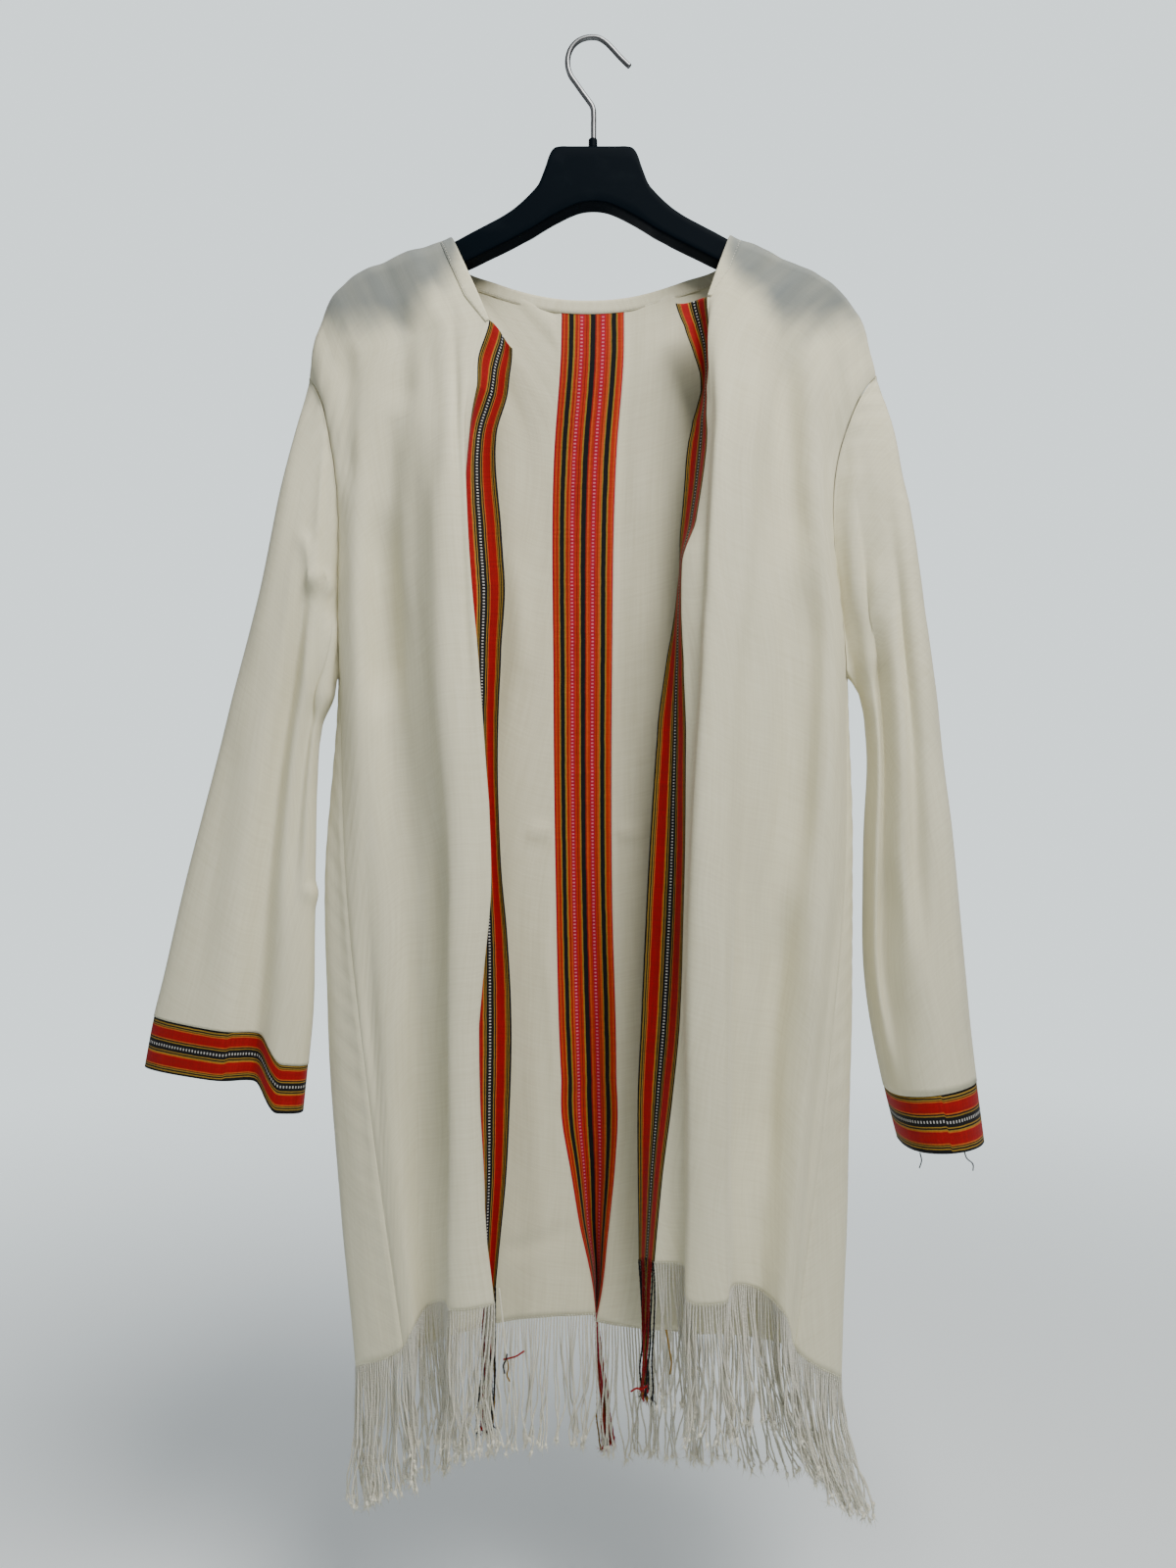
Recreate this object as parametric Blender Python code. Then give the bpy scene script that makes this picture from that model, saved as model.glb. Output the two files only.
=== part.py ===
"""A kimono jacket of thin shawl cloth on a coat hanger, with open fronts, woven bands and a knotted fringe.

The origin is the inside top of the hook, +Z is up, +X is the right of someone who looks at the fronts, and
the fronts face -Y. Sizes are in millimetres, and MM turns them into Blender's metres.
"""
import math
from collections import namedtuple

import bmesh
import bpy
import numpy as np

MM = 0.001

WALL = 1.6
SEAM_GAP = 0.4
SLEEVE_GAP = 1.0
BINDING_WIDTH = 12.0
BINDING_WALL = 0.8
BINDING_GAP = 0.8
# How far down the fronts, on the folds' own scale, the binding has its points, and its last, at the shoulder.
BOUND_FRONT = (0.94, 0.5, 0.18)
SHOULDER_BOUND = 0.08
CUFF_SHARE = 0.115

FRINGE_LENGTH = 118.0
FRINGE_STRIP = 4.0
FRINGE_SPACING = 6.4
FRINGE_UNEVEN = 5.0
STRAND = 2.2
TIP_SHARE = 0.8
STRIP_END = 1.4
FRINGE_GAP = 0.6

HOOK_WIRE = 4.7
HOOK_OPENING = 40.0
HOOK_CENTRE_X = 4.0
HOOK_STRETCH = 1.12
# The wire's route up from the collar to where its round part starts: x and z.
HOOK_STEM = [(0.4, -84.7), (0.4, -72.0), (0.2, -61.0), (-2.5, -54.5), (-8.5, -45.0), (-14.5, -35.0)]
COLLAR_RADIUS = 3.8
COLLAR_TOP = -85.0
TOUCH_GAP = 0.3

# Heights of the cloth's sections. The yoke's is a share of the way from the shoulder down to the chest.
CHEST_Z = -345.0
WAIST_Z = -545.0
HIP_Z = -725.0
SKIRT_Z = -900.0
YOKE, CHEST, WAIST, HIP, SKIRT, HEM = 1, 2, 3, 4, 5, 6
YOKE_SHARE = {"front_left": 0.45, "back": 0.35, "front_right": 0.335}
# How much lower than that each front's free edge starts, where the band's top is cut at a slant.
FREE_EDGE_DROP = {"front_left": 24.5, "front_right": 5.0}
SHOULDER_ARC = 0.18
SHOULDER_EDGE = 0.3
# From here down to the underarm the sleeve lies wholly outside the body's wall.
LIE_OVER_FROM = CHEST + 0.5
ARMHOLE_HALF = 13.0

# A row for each fold, from one edge of the cloth to the other. top is where the fold starts on the shoulder:
# x, y and z. across and forward are its x and y at the yoke, chest, waist, hip, skirt and hem. hem is its z.
Fold = namedtuple("Fold", "name top across forward hem")


def folds(*rows):
    return [Fold(*row) for row in rows]


FRONT_LEFT = folds(
    ("free_edge", (-111, -16, -167), (-68, -81, -78, -74, -68, -81), (-22, -24, -30, -34, -34, -36), -1057),
    ("root", (-122, -16, -171), (-87, -109, -111, -112, -111, -110), (-25, -34, -42, -46, -47, -47), -1057),
    ("turn", (-144, -17, -179), (-104, -106, -94, -80, -85, -81), (-27, -42, -54, -60, -62, -62), -1058),
    ("face", (-157, -18, -184), (-122, -128, -125, -117, -115, -116), (-26, -41, -55, -65, -67, -67), -1062),
    ("foot", (-171, -18, -190), (-144, -148, -144, -126, -122, -123), (-24, -30, -36, -42, -45, -46), -1063),
    ("trough", (-192, -18, -197), (-167, -169, -171, -158, -148, -138), (-22, -19, -16, -25, -30, -33), -1073),
    ("side", (-222, -16, -222), (-200, -200, -198, -189, -171, -148), (-20, -22, -26, -32, -38, -44), -1086),
)
(LEFT_SEAM,) = folds(
    ("left_seam", (-242, 0, -290), (-232, -224, -217, -208, -187, -157), (0, 0, -2, -22, -33, -42), -1103),
)
BACK = folds(
    ("left_edge", (-236, 10, -264), (-225, -216, -219, -228, -220, -198), (12, 15, 8, -6, -14, -22), -1127),
    ("left_turn", (-222, 16, -222), (-212, -206, -214, -223, -215, -191), (20, 26, 28, 22, 18, 14), -1141),
    ("left_ridge", (-192, 18, -197), (-189, -186, -189, -192, -184, -166), (24, 34, 42, 46, 46, 44), -1144),
    ("left_trough", (-164, 18, -187), (-158, -150, -149, -152, -145, -131), (22, 24, 26, 28, 28, 26), -1124),
    ("left_rise", (-131, 17, -174), (-124, -119, -117, -119, -114, -103), (22, 31, 38, 42, 42, 41), -1121),
    ("left_neck", (-122, 16, -171), (-116, -111, -109, -111, -106, -96), (22, 32, 40, 44, 45, 44), -1120),
    ("left_hollow", (-117, 17, -188), (-104, -98, -96, -97, -92, -82), (22, 31, 39, 41, 41, 40), -1116),
    ("left_plain", (-84, 18, -203), (-79, -73, -72, -74, -69, -60), (20, 28, 34, 36, 36, 34), -1110),
    ("band_left", (-27, 20, -216), (-28, -34, -35, -33, -28, -9), (22, 30, 38, 40, 39, 38), -1108),
    ("band_middle", (0, 20, -217), (-1, -6, -9, -8, -4, 2), (22, 30, 38, 42, 51, 61), -1114),
    ("band_right", (27, 20, -215), (27, 21, 17, 17, 21, 14), (22, 30, 38, 40, 39, 38), -1114),
    ("right_plain", (80, 18, -201), (80, 73, 74, 74, 68, 58), (20, 28, 36, 36, 35, 34), -1120),
    ("right_hollow", (113, 17, -187), (105, 102, 101, 99, 93, 84), (22, 31, 40, 42, 42, 40), -1125),
    ("right_neck", (118, 16, -170), (117, 117, 116, 115, 110, 101), (22, 32, 42, 46, 46, 44), -1128),
    ("right_rise", (127, 17, -174), (124, 124, 123, 122, 117, 108), (22, 31, 39, 43, 44, 42), -1127),
    ("right_trough", (160, 18, -189), (154, 150, 152, 151, 145, 135), (22, 24, 26, 28, 28, 28), -1123),
    ("right_ridge", (189, 18, -202), (185, 188, 193, 193, 186, 170), (24, 32, 40, 44, 44, 42), -1136),
    ("right_turn", (216, 16, -223), (207, 196, 214, 218, 213, 198), (20, 25, 27, 22, 18, 14), -1146),
    ("right_edge", (235, 10, -264), (220, 206, 220, 222, 218, 209), (12, 15, 8, -2, -9, -16), -1140),
)
(RIGHT_SEAM,) = folds(
    ("right_seam", (242, 0, -288), (228, 213, 217, 213, 195, 167), (0, 0, -2, -16, -27, -38), -1105),
)
FRONT_RIGHT = folds(
    ("side", (218, -16, -225), (194, 190, 198, 190, 175, 157), (-20, -22, -26, -32, -37, -42), -1074),
    ("trough", (191, -18, -203), (167, 161, 166, 157, 148, 139), (-22, -20, -18, -22, -24, -26), -1062),
    ("slope", (174, -18, -195), (148, 139, 131, 122, 118, 116), (-25, -32, -36, -38, -38, -38), -1053),
    ("face", (159, -18, -188), (129, 119, 109, 105, 105, 107), (-27, -42, -54, -62, -64, -64), -1057),
    ("turn", (144, -18, -182), (109, 101, 90, 80, 78, 78), (-28, -44, -54, -60, -62, -62), -1057),
    ("foot", (136, -17, -178), (103, 98, 88, 78, 75, 75), (-26, -36, -44, -44, -42, -40), -1037),
    ("root", (118, -16, -170), (96, 95, 79, 76, 67, 53), (-22, -30, -34, -34, -35, -36), -1035),
    ("free_edge", (107, -16, -166), (70, 81, 60, 46, 38, 39), (-14, -6, -8, -12, -11, -8), -1044),
)
NECK_WORDS = ("hollow", "plain", "band")
NECK_FOLDS = [fold.name for fold in BACK if any(word in fold.name for word in NECK_WORDS)]

# A row for each section of a sleeve, from the armhole to the cuff's end: the outer line, the inner line under
# the arm, how far the front and the back stand from the middle, and how much lower the roll under the arm is.
Ring = namedtuple("Ring", "outer_x outer_z inner_x inner_z front back droop")

SLEEVE_LEFT = [
    Ring(-251, -325, -228, -562, -18, 18, 0),
    Ring(-265, -390, -232, -583, -22, 20, 0),
    Ring(-283, -473, -235, -606, -22, 20, 0),
    Ring(-304, -549, -237, -638, -22, 18, 0),
    Ring(-328, -643, -238, -690, -22, 18, 3),
    Ring(-349, -726, -239, -751, -22, 18, 9),
    Ring(-367, -804, -240, -818, -23, 18, 17),
    Ring(-375, -836, -244, -858, -24, 18, 21),
    Ring(-383, -878, -248, -896, -24, 18, 22),
]
SLEEVE_RIGHT = [
    Ring(254, -325, 229, -562, -20, 20, 0),
    Ring(265, -381, 234, -587, -26, 24, 0),
    Ring(276, -453, 236, -608, -32, 28, 0),
    Ring(286, -524, 236, -638, -38, 32, 0),
    Ring(296, -608, 234, -680, -42, 36, 0),
    Ring(304, -688, 233, -730, -44, 40, 0),
    Ring(312, -772, 234, -796, -46, 42, 0),
    Ring(325, -890, 252, -902, -48, 46, 0),
    Ring(331, -937, 263, -944, -48, 46, 0),
]

# A row for each valley along a sleeve: its place round the tube at its two ends, as a share of a turn from
# the outer line over the front, its depth, its half width as a share of a turn, and where it starts and ends.
Valley = namedtuple("Valley", "turn_start turn_end depth width start end")

VALLEYS_LEFT = [
    Valley(0.27, 0.31, 16, 0.035, 0.12, 1.06),
    Valley(0.40, 0.37, 7, 0.030, 0.05, 0.60),
    Valley(0.72, 0.68, 13, 0.040, 0.15, 1.06),
]
VALLEYS_RIGHT = [
    Valley(0.33, 0.38, 14, 0.035, 0.06, 0.80),
    Valley(0.20, 0.26, 9, 0.035, 0.18, 0.75),
    Valley(0.72, 0.70, 15, 0.045, 0.15, 1.06),
]

# A row for each section of the hanger's body, from one tip to the other: x, the top's z, the height, half the
# thickness, and the power that makes the section's corners round (1) or square (towards 0).
Arm = namedtuple("Arm", "x top height half power")

HANGER = [
    Arm(-218, -231, 15, 7, 1.0),
    Arm(-214, -225, 20, 10, 1.0),
    Arm(-203, -214.5, 22, 12, 1.0),
    Arm(-180, -199, 22, 12.5, 1.0),
    Arm(-150, -187.5, 21, 12, 1.0),
    Arm(-122, -179.5, 18, 9, 0.9),
    Arm(-90, -157.5, 17, 10.5, 0.7),
    Arm(-66, -141, 17, 10.5, 0.6),
    Arm(-52, -127, 26, 10.5, 0.6),
    Arm(-44, -112, 37, 10, 0.6),
    Arm(-36, -94.5, 51, 10, 0.6),
    Arm(-32, -91.8, 52, 10, 0.6),
    Arm(0, -91.8, 47, 10, 0.6),
]
HANGER_TILT = 0.014
HANGER_SIDES = 16
HANGER_TOP = -91.8


def between(a, b, c, d, t):
    """A smooth value from b to c as t goes from 0 to 1, on a curve through all four."""
    before, length, after = (max(np.linalg.norm(q - p), 1e-6) for p, q in ((a, b), (b, c), (c, d)))
    leave = ((b - a) / before * length + (c - b) / length * before) / (before + length) * length
    arrive = ((c - b) / length * after + (d - c) / after * length) / (length + after) * length
    return (
        (2 * t**3 - 3 * t**2 + 1) * b
        + (t**3 - 2 * t**2 + t) * leave
        + (3 * t**2 - 2 * t**3) * c
        + (t**3 - t**2) * arrive
    )


def spline(row_at, last, place):
    """A smooth value at a place between rows 0 and last. row_at gives a row by its number."""
    index = min(max(int(math.floor(place)), 0), last - 1)
    b, c = row_at(index), row_at(index + 1)
    a = row_at(index - 1) if index > 0 else 2 * b - c
    d = row_at(index + 2) if index + 2 <= last else 2 * c - b
    return between(a, b, c, d, place - index)


def fold_point(fold, owner, v):
    """A point down one fold of the owner's panel: v is 0 at the shoulder and HEM at the hem."""
    x, y, z = fold.top
    yoke_z = z + YOKE_SHARE[owner] * (CHEST_Z - z)
    if fold.name == "free_edge":
        yoke_z -= FREE_EDGE_DROP[owner]
    heights = (yoke_z, CHEST_Z, WAIST_Z, HIP_Z, SKIRT_Z, fold.hem)
    rows = np.array([fold.top, *zip(fold.across, fold.forward, heights)], float)
    if fold.name == "root" and v < YOKE:
        point = rows[0] + (rows[YOKE] - rows[0]) * v
    else:
        point = spline(rows.__getitem__, HEM, v)
    if v < SHOULDER_ARC and fold.name not in NECK_FOLDS:
        rise = math.sqrt(1 - (1 - v / SHOULDER_ARC) ** 2)
        edge = math.copysign(SEAM_GAP / 2, y) if y else 0.0
        point[1] = edge + (point[1] - edge) * rise
    return point


def seam_point(fold, v, side):
    """The armhole's edge down to the waist, and the side seam below it. side is -1 in front, 1 at the back."""
    point = fold_point(fold, "back", v)
    if v < WAIST:
        point[1] += side * (ARMHOLE_HALF * math.sin(math.pi * v / WAIST) + SEAM_GAP / 2)
    return point


# Each panel's folds in order, with one more past each seam, which keeps the cloth smooth there.
PANELS = {
    "front_left": FRONT_LEFT + [LEFT_SEAM, BACK[0]],
    "back": [FRONT_LEFT[-1], LEFT_SEAM, *BACK, RIGHT_SEAM, FRONT_RIGHT[0]],
    "front_right": [BACK[-1], RIGHT_SEAM] + FRONT_RIGHT,
}


def cloth_point(panel, u, v):
    """A point of a panel: u counts its folds, and v is 0 at the shoulder and HEM at the hem."""
    folds = PANELS[panel]

    def row_at(index):
        fold = folds[index]
        if fold in (LEFT_SEAM, RIGHT_SEAM):
            return seam_point(fold, v, 1 if panel == "back" else -1)
        owner = "back" if fold in BACK else panel
        if panel == "back" and fold not in BACK:
            owner = "front_left" if fold in FRONT_LEFT else "front_right"
        return fold_point(fold, owner, v)

    point = spline(row_at, len(folds) - 1, u)
    if v < SHOULDER_ARC:
        point[1] = max(point[1], SHOULDER_EDGE) if panel == "back" else min(point[1], -SHOULDER_EDGE)
    return point


# Where folds are counted from, in a panel's rows.
LEFT_FREE, LEFT_ROOT, LEFT_SIDE = 0, 1, 7
BACK_LEFT, NECK_LEFT, BAND_LEFT, BAND_RIGHT, NECK_RIGHT, BACK_RIGHT = 1, 7, 10, 12, 15, 21
RIGHT_SIDE, RIGHT_ROOT, RIGHT_FREE = 1, 8, 9
ARMHOLES = {"front_left": (-1, LEFT_SIDE), "back": (BACK_LEFT, BACK_RIGHT), "front_right": (RIGHT_SIDE, -1)}

# How full a sleeve's section is: 1 is an ellipse, and lower is squarer.
SLEEVE_FULLNESS = 0.75
# A valley reaches its full depth after this share of its length.
VALLEY_RISE = 0.31
# The roll under the arm starts this share of the way in from the outer line, and is whole so much further in.
ROLL_STARTS, ROLL_RISE = 0.70, 0.16
SLEEVE_SIDES = 24
SLEEVE_STEPS = 13
CUFF_STEPS = 2
BAND_STEPS = 6
HEIGHTS = (0, 0.02, 0.08, 0.18, 0.5, 1, 1.5, 2, 2.5, 3, 3.35, 3.7, 4, 4.33, 4.67, 5, 5.33, 5.67, 6)


def spaced(start, end, steps):
    return [start + (end - start) * i / steps for i in range(steps + 1)]


def step_size(panel, u, v):
    """How far the cloth's point moves for a step of one along u, and along v."""
    here = cloth_point(panel, u, v)
    back = -0.01 if v > HEM - 0.02 else 0.01
    return (
        np.linalg.norm(cloth_point(panel, u + 0.01, v) - here) / 0.01,
        np.linalg.norm(cloth_point(panel, u, v + back) - here) / 0.01,
    )


def cloth_normal(panel, u, v):
    """The normal of the cloth's outer face. At an armhole's edge it is taken from the panel's own side."""
    before = after = 0.02
    if v < WAIST:
        first, last = ARMHOLES[panel]
        before = 0.0 if abs(u - first) < before else before
        after = 0.0 if abs(u - last) < after else after
    along = cloth_point(panel, u + after, v) - cloth_point(panel, u - before, v)
    step = 0.001 if v < 0.01 else 0.02
    down = cloth_point(panel, u, min(v + step, HEM)) - cloth_point(panel, u, max(v - step, 0))
    normal = np.cross(along, down)
    return normal / np.linalg.norm(normal)


def trim_sign(index, count):
    """1 at a row's first place, -1 at its last, 0 between them."""
    return (index == 0) - (index == count - 1)


def new_object(name, points, faces, material, collection):
    """A closed mesh with its faces turned outwards."""
    data = bpy.data.meshes.new(name)
    data.from_pydata([tuple(float(c) * MM for c in p) for p in points], [], faces)
    mesh = bmesh.new()
    mesh.from_mesh(data)
    bmesh.ops.recalc_face_normals(mesh, faces=mesh.faces)
    mesh.to_mesh(data)
    mesh.free()
    data.materials.append(material)
    data.shade_smooth()
    obj = bpy.data.objects.new(name, data)
    collection.objects.link(obj)
    return obj


def add_wall(name, points, normals, cells, material, collection):
    """A cloth wall: each point moved out to both sides by half the wall, and the edges closed."""
    used = sorted({corner for cell in cells for corner in cell})
    place = {corner: k for k, corner in enumerate(used)}
    cells = [tuple(place[corner] for corner in cell) for cell in cells]
    points, normals = points[used], normals[used]
    both = np.concatenate([points + normals * WALL / 2, points - normals * WALL / 2])
    count = len(used)
    faces = list(cells) + [tuple(corner + count for corner in reversed(cell)) for cell in cells]
    edges = {(a, b) for cell in cells for a, b in zip(cell, cell[1:] + cell[:1])}
    faces += [(b, a, a + count, b + count) for a, b in edges if (b, a) not in edges]
    new_object(name, both, faces, material, collection)


def add_sheet(name, panel, across, down, material, collection, trim=SEAM_GAP / 2):
    """A flat-cut piece of a panel, trimmed along its outline. across and down are the grid's places."""
    points, normals, cells = [], [], []
    for i, v in enumerate(down):
        for j, u in enumerate(across):
            speed = step_size(panel, u, v)
            placed_u = u + trim_sign(j, len(across)) * trim / speed[0]
            placed_v = v + trim_sign(i, len(down)) * trim / speed[1] if v > 0 else v
            points.append(cloth_point(panel, placed_u, placed_v))
            normals.append(cloth_normal(panel, placed_u, placed_v))
            if i + 1 < len(down) and j + 1 < len(across):
                a = i * len(across) + j
                cells.append((a, a + len(across), a + len(across) + 1, a + 1))
    add_wall(name, np.array(points), np.array(normals), cells, material, collection)


def add_front(name, root, free, side, materials, collection):
    """A front, whose edge slants along the neck to the yoke, and the woven band down the rest of its edge."""
    band_places = sorted(spaced(free, root, 3))
    cloth_places = sorted(spaced(root, side, 3 * abs(side - root)))
    add_sheet(name, name, cloth_places, HEIGHTS, materials["cloth"], collection)
    band_name = name.replace("front", "front_band")
    band_heights = HEIGHTS[HEIGHTS.index(YOKE):]
    add_sheet(band_name, name, band_places, band_heights, materials["band"], collection, SEAM_GAP)
    add_fringe(name.replace("front", "fringe_front"), name, cloth_places, materials["fringe"], collection)
    add_fringe(name.replace("front", "fringe_band"), name, band_places, materials["band"], collection)


def back_places():
    """Places across the left and the right half of the back."""
    left = spaced(BACK_LEFT, NECK_LEFT, 12)[:-1] + spaced(NECK_LEFT, BAND_LEFT, 7)
    right = spaced(BAND_RIGHT, NECK_RIGHT, 7)[:-1] + spaced(NECK_RIGHT, BACK_RIGHT, 12)
    return left, right


def add_back(materials, collection):
    """The two halves of the back, the woven band between them and their fringes."""
    left, right = back_places()
    middle = spaced(BAND_LEFT, BAND_RIGHT, BAND_STEPS)
    for name, across, cloth, thread in (
        ("back_left", left, "cloth", "fringe"),
        ("back_band", middle, "band", "band"),
        ("back_right", right, "cloth", "fringe"),
    ):
        add_sheet(name, "back", across, HEIGHTS, materials[cloth], collection)
        add_fringe(f"fringe_{name}", "back", across, materials[thread], collection)


def ring_points(ring, valleys, share, sides):
    """The points round one section of a sleeve, from its outer line over the front."""
    points = []
    for k in range(sides):
        turn = k / sides
        inward = (1 - math.cos(2 * math.pi * turn)) / 2
        swing = math.sin(2 * math.pi * turn)
        reach = -ring.front if swing > 0 else ring.back
        y = -math.copysign(abs(swing) ** SLEEVE_FULLNESS, swing) * reach
        for valley in valleys:
            if valley.start < share < valley.end:
                along = (share - valley.start) / (valley.end - valley.start)
                place = valley.turn_start + (valley.turn_end - valley.turn_start) * along
                swell = math.sin(math.pi / 2 * min(along / VALLEY_RISE, 1))
                fall = swell * valley.depth * math.exp(-(((turn - place) / valley.width) ** 2))
                y += math.copysign(fall, swing)
        x = ring.outer_x + (ring.inner_x - ring.outer_x) * inward
        z = ring.outer_z + (ring.inner_z - ring.outer_z) * inward
        roll = min(max((inward - ROLL_STARTS) / ROLL_RISE, 0), 1)
        points.append((x, y, z - ring.droop * roll * roll * (3 - 2 * roll)))
    return np.array(points)


def armhole_places():
    """Which side of the armhole and how far down it each of a sleeve's first points lies."""
    for k in range(SLEEVE_SIDES):
        turn = 2 * k / SLEEVE_SIDES
        yield (-1, turn * WAIST) if turn <= 1 else (1, (2 - turn) * WAIST)


def armhole_edge(seam, side):
    """The panel and fold that an armhole's front (-1) or back (1) edge is on, and the way off the panel."""
    if side > 0:
        return ("back", BACK_LEFT, -1) if seam is LEFT_SEAM else ("back", BACK_RIGHT, 1)
    return ("front_left", LEFT_SIDE, 1) if seam is LEFT_SEAM else ("front_right", RIGHT_SIDE, -1)


def armhole_points(seam):
    """The armhole's edge, from the shoulder down the front and up the back, a small gap off the body. Under
    the arm the sleeve lies over the body's side."""
    points = []
    outward = math.copysign(1, seam.top[0])
    for side, v in armhole_places():
        point = seam_point(seam, v, side)
        if 0 < v < WAIST:
            panel, u, leaving = armhole_edge(seam, side)
            off = point - cloth_point(panel, u - leaving * 0.05, v)
            point += off * SLEEVE_GAP / np.linalg.norm(off)
        else:
            point += np.array((outward * SLEEVE_GAP, -side * SEAM_GAP / 2, 0))
        lie_over = min(max((v - YOKE) / (LIE_OVER_FROM - YOKE), 0), 1)
        point[0] += outward * (WALL + SLEEVE_GAP) * lie_over
        points.append(point)
    # The body's edge runs straight between its own sections, so every second point lies on such a stretch.
    for k in range(3, SLEEVE_SIDES - 1, 2):
        points[k] = (points[k - 1] + points[k + 1]) / 2
    return np.array(points)


def armhole_normals(seam):
    """The body's own normals along the armhole, which keep the sleeve's wall in line with it."""
    normals = []
    for side, v in armhole_places():
        panel, u, _ = armhole_edge(seam, side)
        normals.append(cloth_normal(panel, u, v))
    return np.array(normals)


def sleeve_grid(seam, rings, valleys):
    """Points round the sleeve at each section, the armhole's first."""
    grid = [armhole_points(seam)]
    for k, ring in enumerate(rings):
        grid.append(ring_points(ring, valleys, (k + 1) / len(rings), SLEEVE_SIDES))
    return np.array(grid)


def add_tube(name, rows, first_normals, start, end, steps, trims, material, collection):
    """A stretch of a sleeve, closed round and open at its ends. trims draw the ends in, in millimetres."""
    sides, last = len(rows[0]), len(rows) - 1
    places = spaced(start, end, steps)

    def ring_at(place):
        return spline(rows.__getitem__, last, place)

    for edge, toward, trim in ((0, 1, trims[0]), (-1, -1, trims[1])):
        step = ring_at(places[edge] + toward * 0.01) - ring_at(places[edge])
        places[edge] += toward * trim * 0.01 / np.linalg.norm(step, axis=1).mean()
    points, normals, cells = [], [], []
    for i, place in enumerate(places):
        ring = ring_at(place)
        along = ring_at(min(place + 0.05, last)) - ring_at(max(place - 0.05, 0))
        round_it = np.roll(ring, -1, axis=0) - np.roll(ring, 1, axis=0)
        normal = np.cross(along, round_it)
        normal /= np.linalg.norm(normal, axis=1, keepdims=True)
        if place == 0:
            normal = first_normals * np.sign((first_normals * normal).sum(axis=1, keepdims=True))
        points.append(ring)
        normals.append(normal)
        for k in range(sides):
            if i < steps:
                a, b = i * sides + k, i * sides + (k + 1) % sides
                cells.append((a, a + sides, b + sides, b))
    add_wall(name, np.concatenate(points), np.concatenate(normals), cells, material, collection)


def add_sleeve(name, seam, rings, valleys, materials, collection):
    """A sleeve, and the woven cuff that is sewn to its end."""
    rows = sleeve_grid(seam, rings, valleys)
    last = len(rows) - 1
    cuff_start = last * (1 - CUFF_SHARE)
    half = SEAM_GAP / 2
    normals = armhole_normals(seam)
    add_tube(name, rows, normals, 0, cuff_start, SLEEVE_STEPS, (0, half), materials["cloth"], collection)
    cuff = name.replace("sleeve", "cuff")
    add_tube(cuff, rows, normals, cuff_start, last, CUFF_STEPS, (half, 0), materials["band"], collection)


def neck_paths():
    """The stretches of the neck's edge that the binding covers: down each front and along the back. Each
    point of a stretch is one of the cloth's own corners: its panel, u and v, and how far the binding reaches
    over it. Near the shoulder seam it narrows."""
    down_front = [(v, BINDING_WIDTH) for v in BOUND_FRONT] + [(SHOULDER_BOUND, BINDING_WIDTH / 2)]
    left, right = back_places()
    middle = spaced(BAND_LEFT, BAND_RIGHT, BAND_STEPS)[1:-1]
    across = [u for u in left + middle + right if NECK_LEFT + 1 < u < NECK_RIGHT - 1]
    return {
        "neck_binding_left": [("front_left", LEFT_ROOT, v, reach) for v, reach in down_front],
        "neck_binding_back": [("back", u, 0, BINDING_WIDTH) for u in across],
        "neck_binding_right": [("front_right", RIGHT_ROOT, v, reach) for v, reach in reversed(down_front)],
    }


def into_cloth(panel, u, v, reach):
    """The way from a point of the neck's edge to the cloth's point a reach away, across the edge."""
    point = cloth_point(panel, u, v)
    step_u, step_v = (0, 0.01) if panel == "back" else (0.02 if u == LEFT_ROOT else -0.02, 0)
    steps = 1
    while np.linalg.norm(cloth_point(panel, u + step_u * steps, v + step_v * steps) - point) < reach:
        steps += 1
    inward = cloth_point(panel, u + step_u * steps, v + step_v * steps) - point
    return inward / np.linalg.norm(inward)


def add_binding(name, places, material, collection):
    """A stretch of bias binding over the neck's edge: a channel that stays clear of the cloth inside it."""
    path = [cloth_point(panel, u, v) for panel, u, v, _ in places]
    points = []
    inner = WALL / 2 + BINDING_GAP
    outer = inner + BINDING_WALL
    for k, place in enumerate(places):
        ahead = path[min(k + 1, len(path) - 1)] - path[max(k - 1, 0)]
        inward = into_cloth(*place)
        normal = np.cross(ahead, inward)
        normal /= np.linalg.norm(normal)
        reach = place[-1]
        for depth, out in (
            (reach, outer),
            (-BINDING_GAP - BINDING_WALL, outer),
            (-BINDING_GAP - BINDING_WALL, -outer),
            (reach, -outer),
            (reach, -inner),
            (-BINDING_GAP, -inner),
            (-BINDING_GAP, inner),
            (reach, inner),
        ):
            points.append(path[k] + inward * depth + normal * out)
    sides = 8
    faces = []
    for i in range(len(path) - 1):
        for k in range(sides):
            a, b = i * sides + k, i * sides + (k + 1) % sides
            faces.append((a, a + sides, b + sides, b))
    first, last = 0, (len(path) - 1) * sides
    for base, turned in ((first, False), (last, True)):
        for a, b, c, d in ((0, 1, 6, 7), (1, 2, 5, 6), (2, 3, 4, 5)):
            face = (base + a, base + b, base + c, base + d)
            faces.append(face[::-1] if turned else face)
    new_object(name, points, faces, material, collection)


def hem_line(panel, across):
    """The hem's points, at the places of the panel's own corners, and the lowest the wall reaches there."""
    points = []
    for u in across:
        point = cloth_point(panel, u, HEM)
        point[2] -= WALL / 2 * abs(cloth_normal(panel, u, HEM)[2])
        points.append(point)
    return np.array(points)


def strand_marks(length):
    """Distances along a hem: the strip's two ends, and between them the two sides of each strand's root."""
    count = max(int((length - 2 * STRIP_END) / FRINGE_SPACING), 1)
    margin = (length - (count - 1) * FRINGE_SPACING - STRAND) / 2
    marks = [STRIP_END]
    for k in range(count):
        root = margin + k * FRINGE_SPACING
        marks += [root, root + STRAND]
    return marks + [length - STRIP_END]


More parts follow.
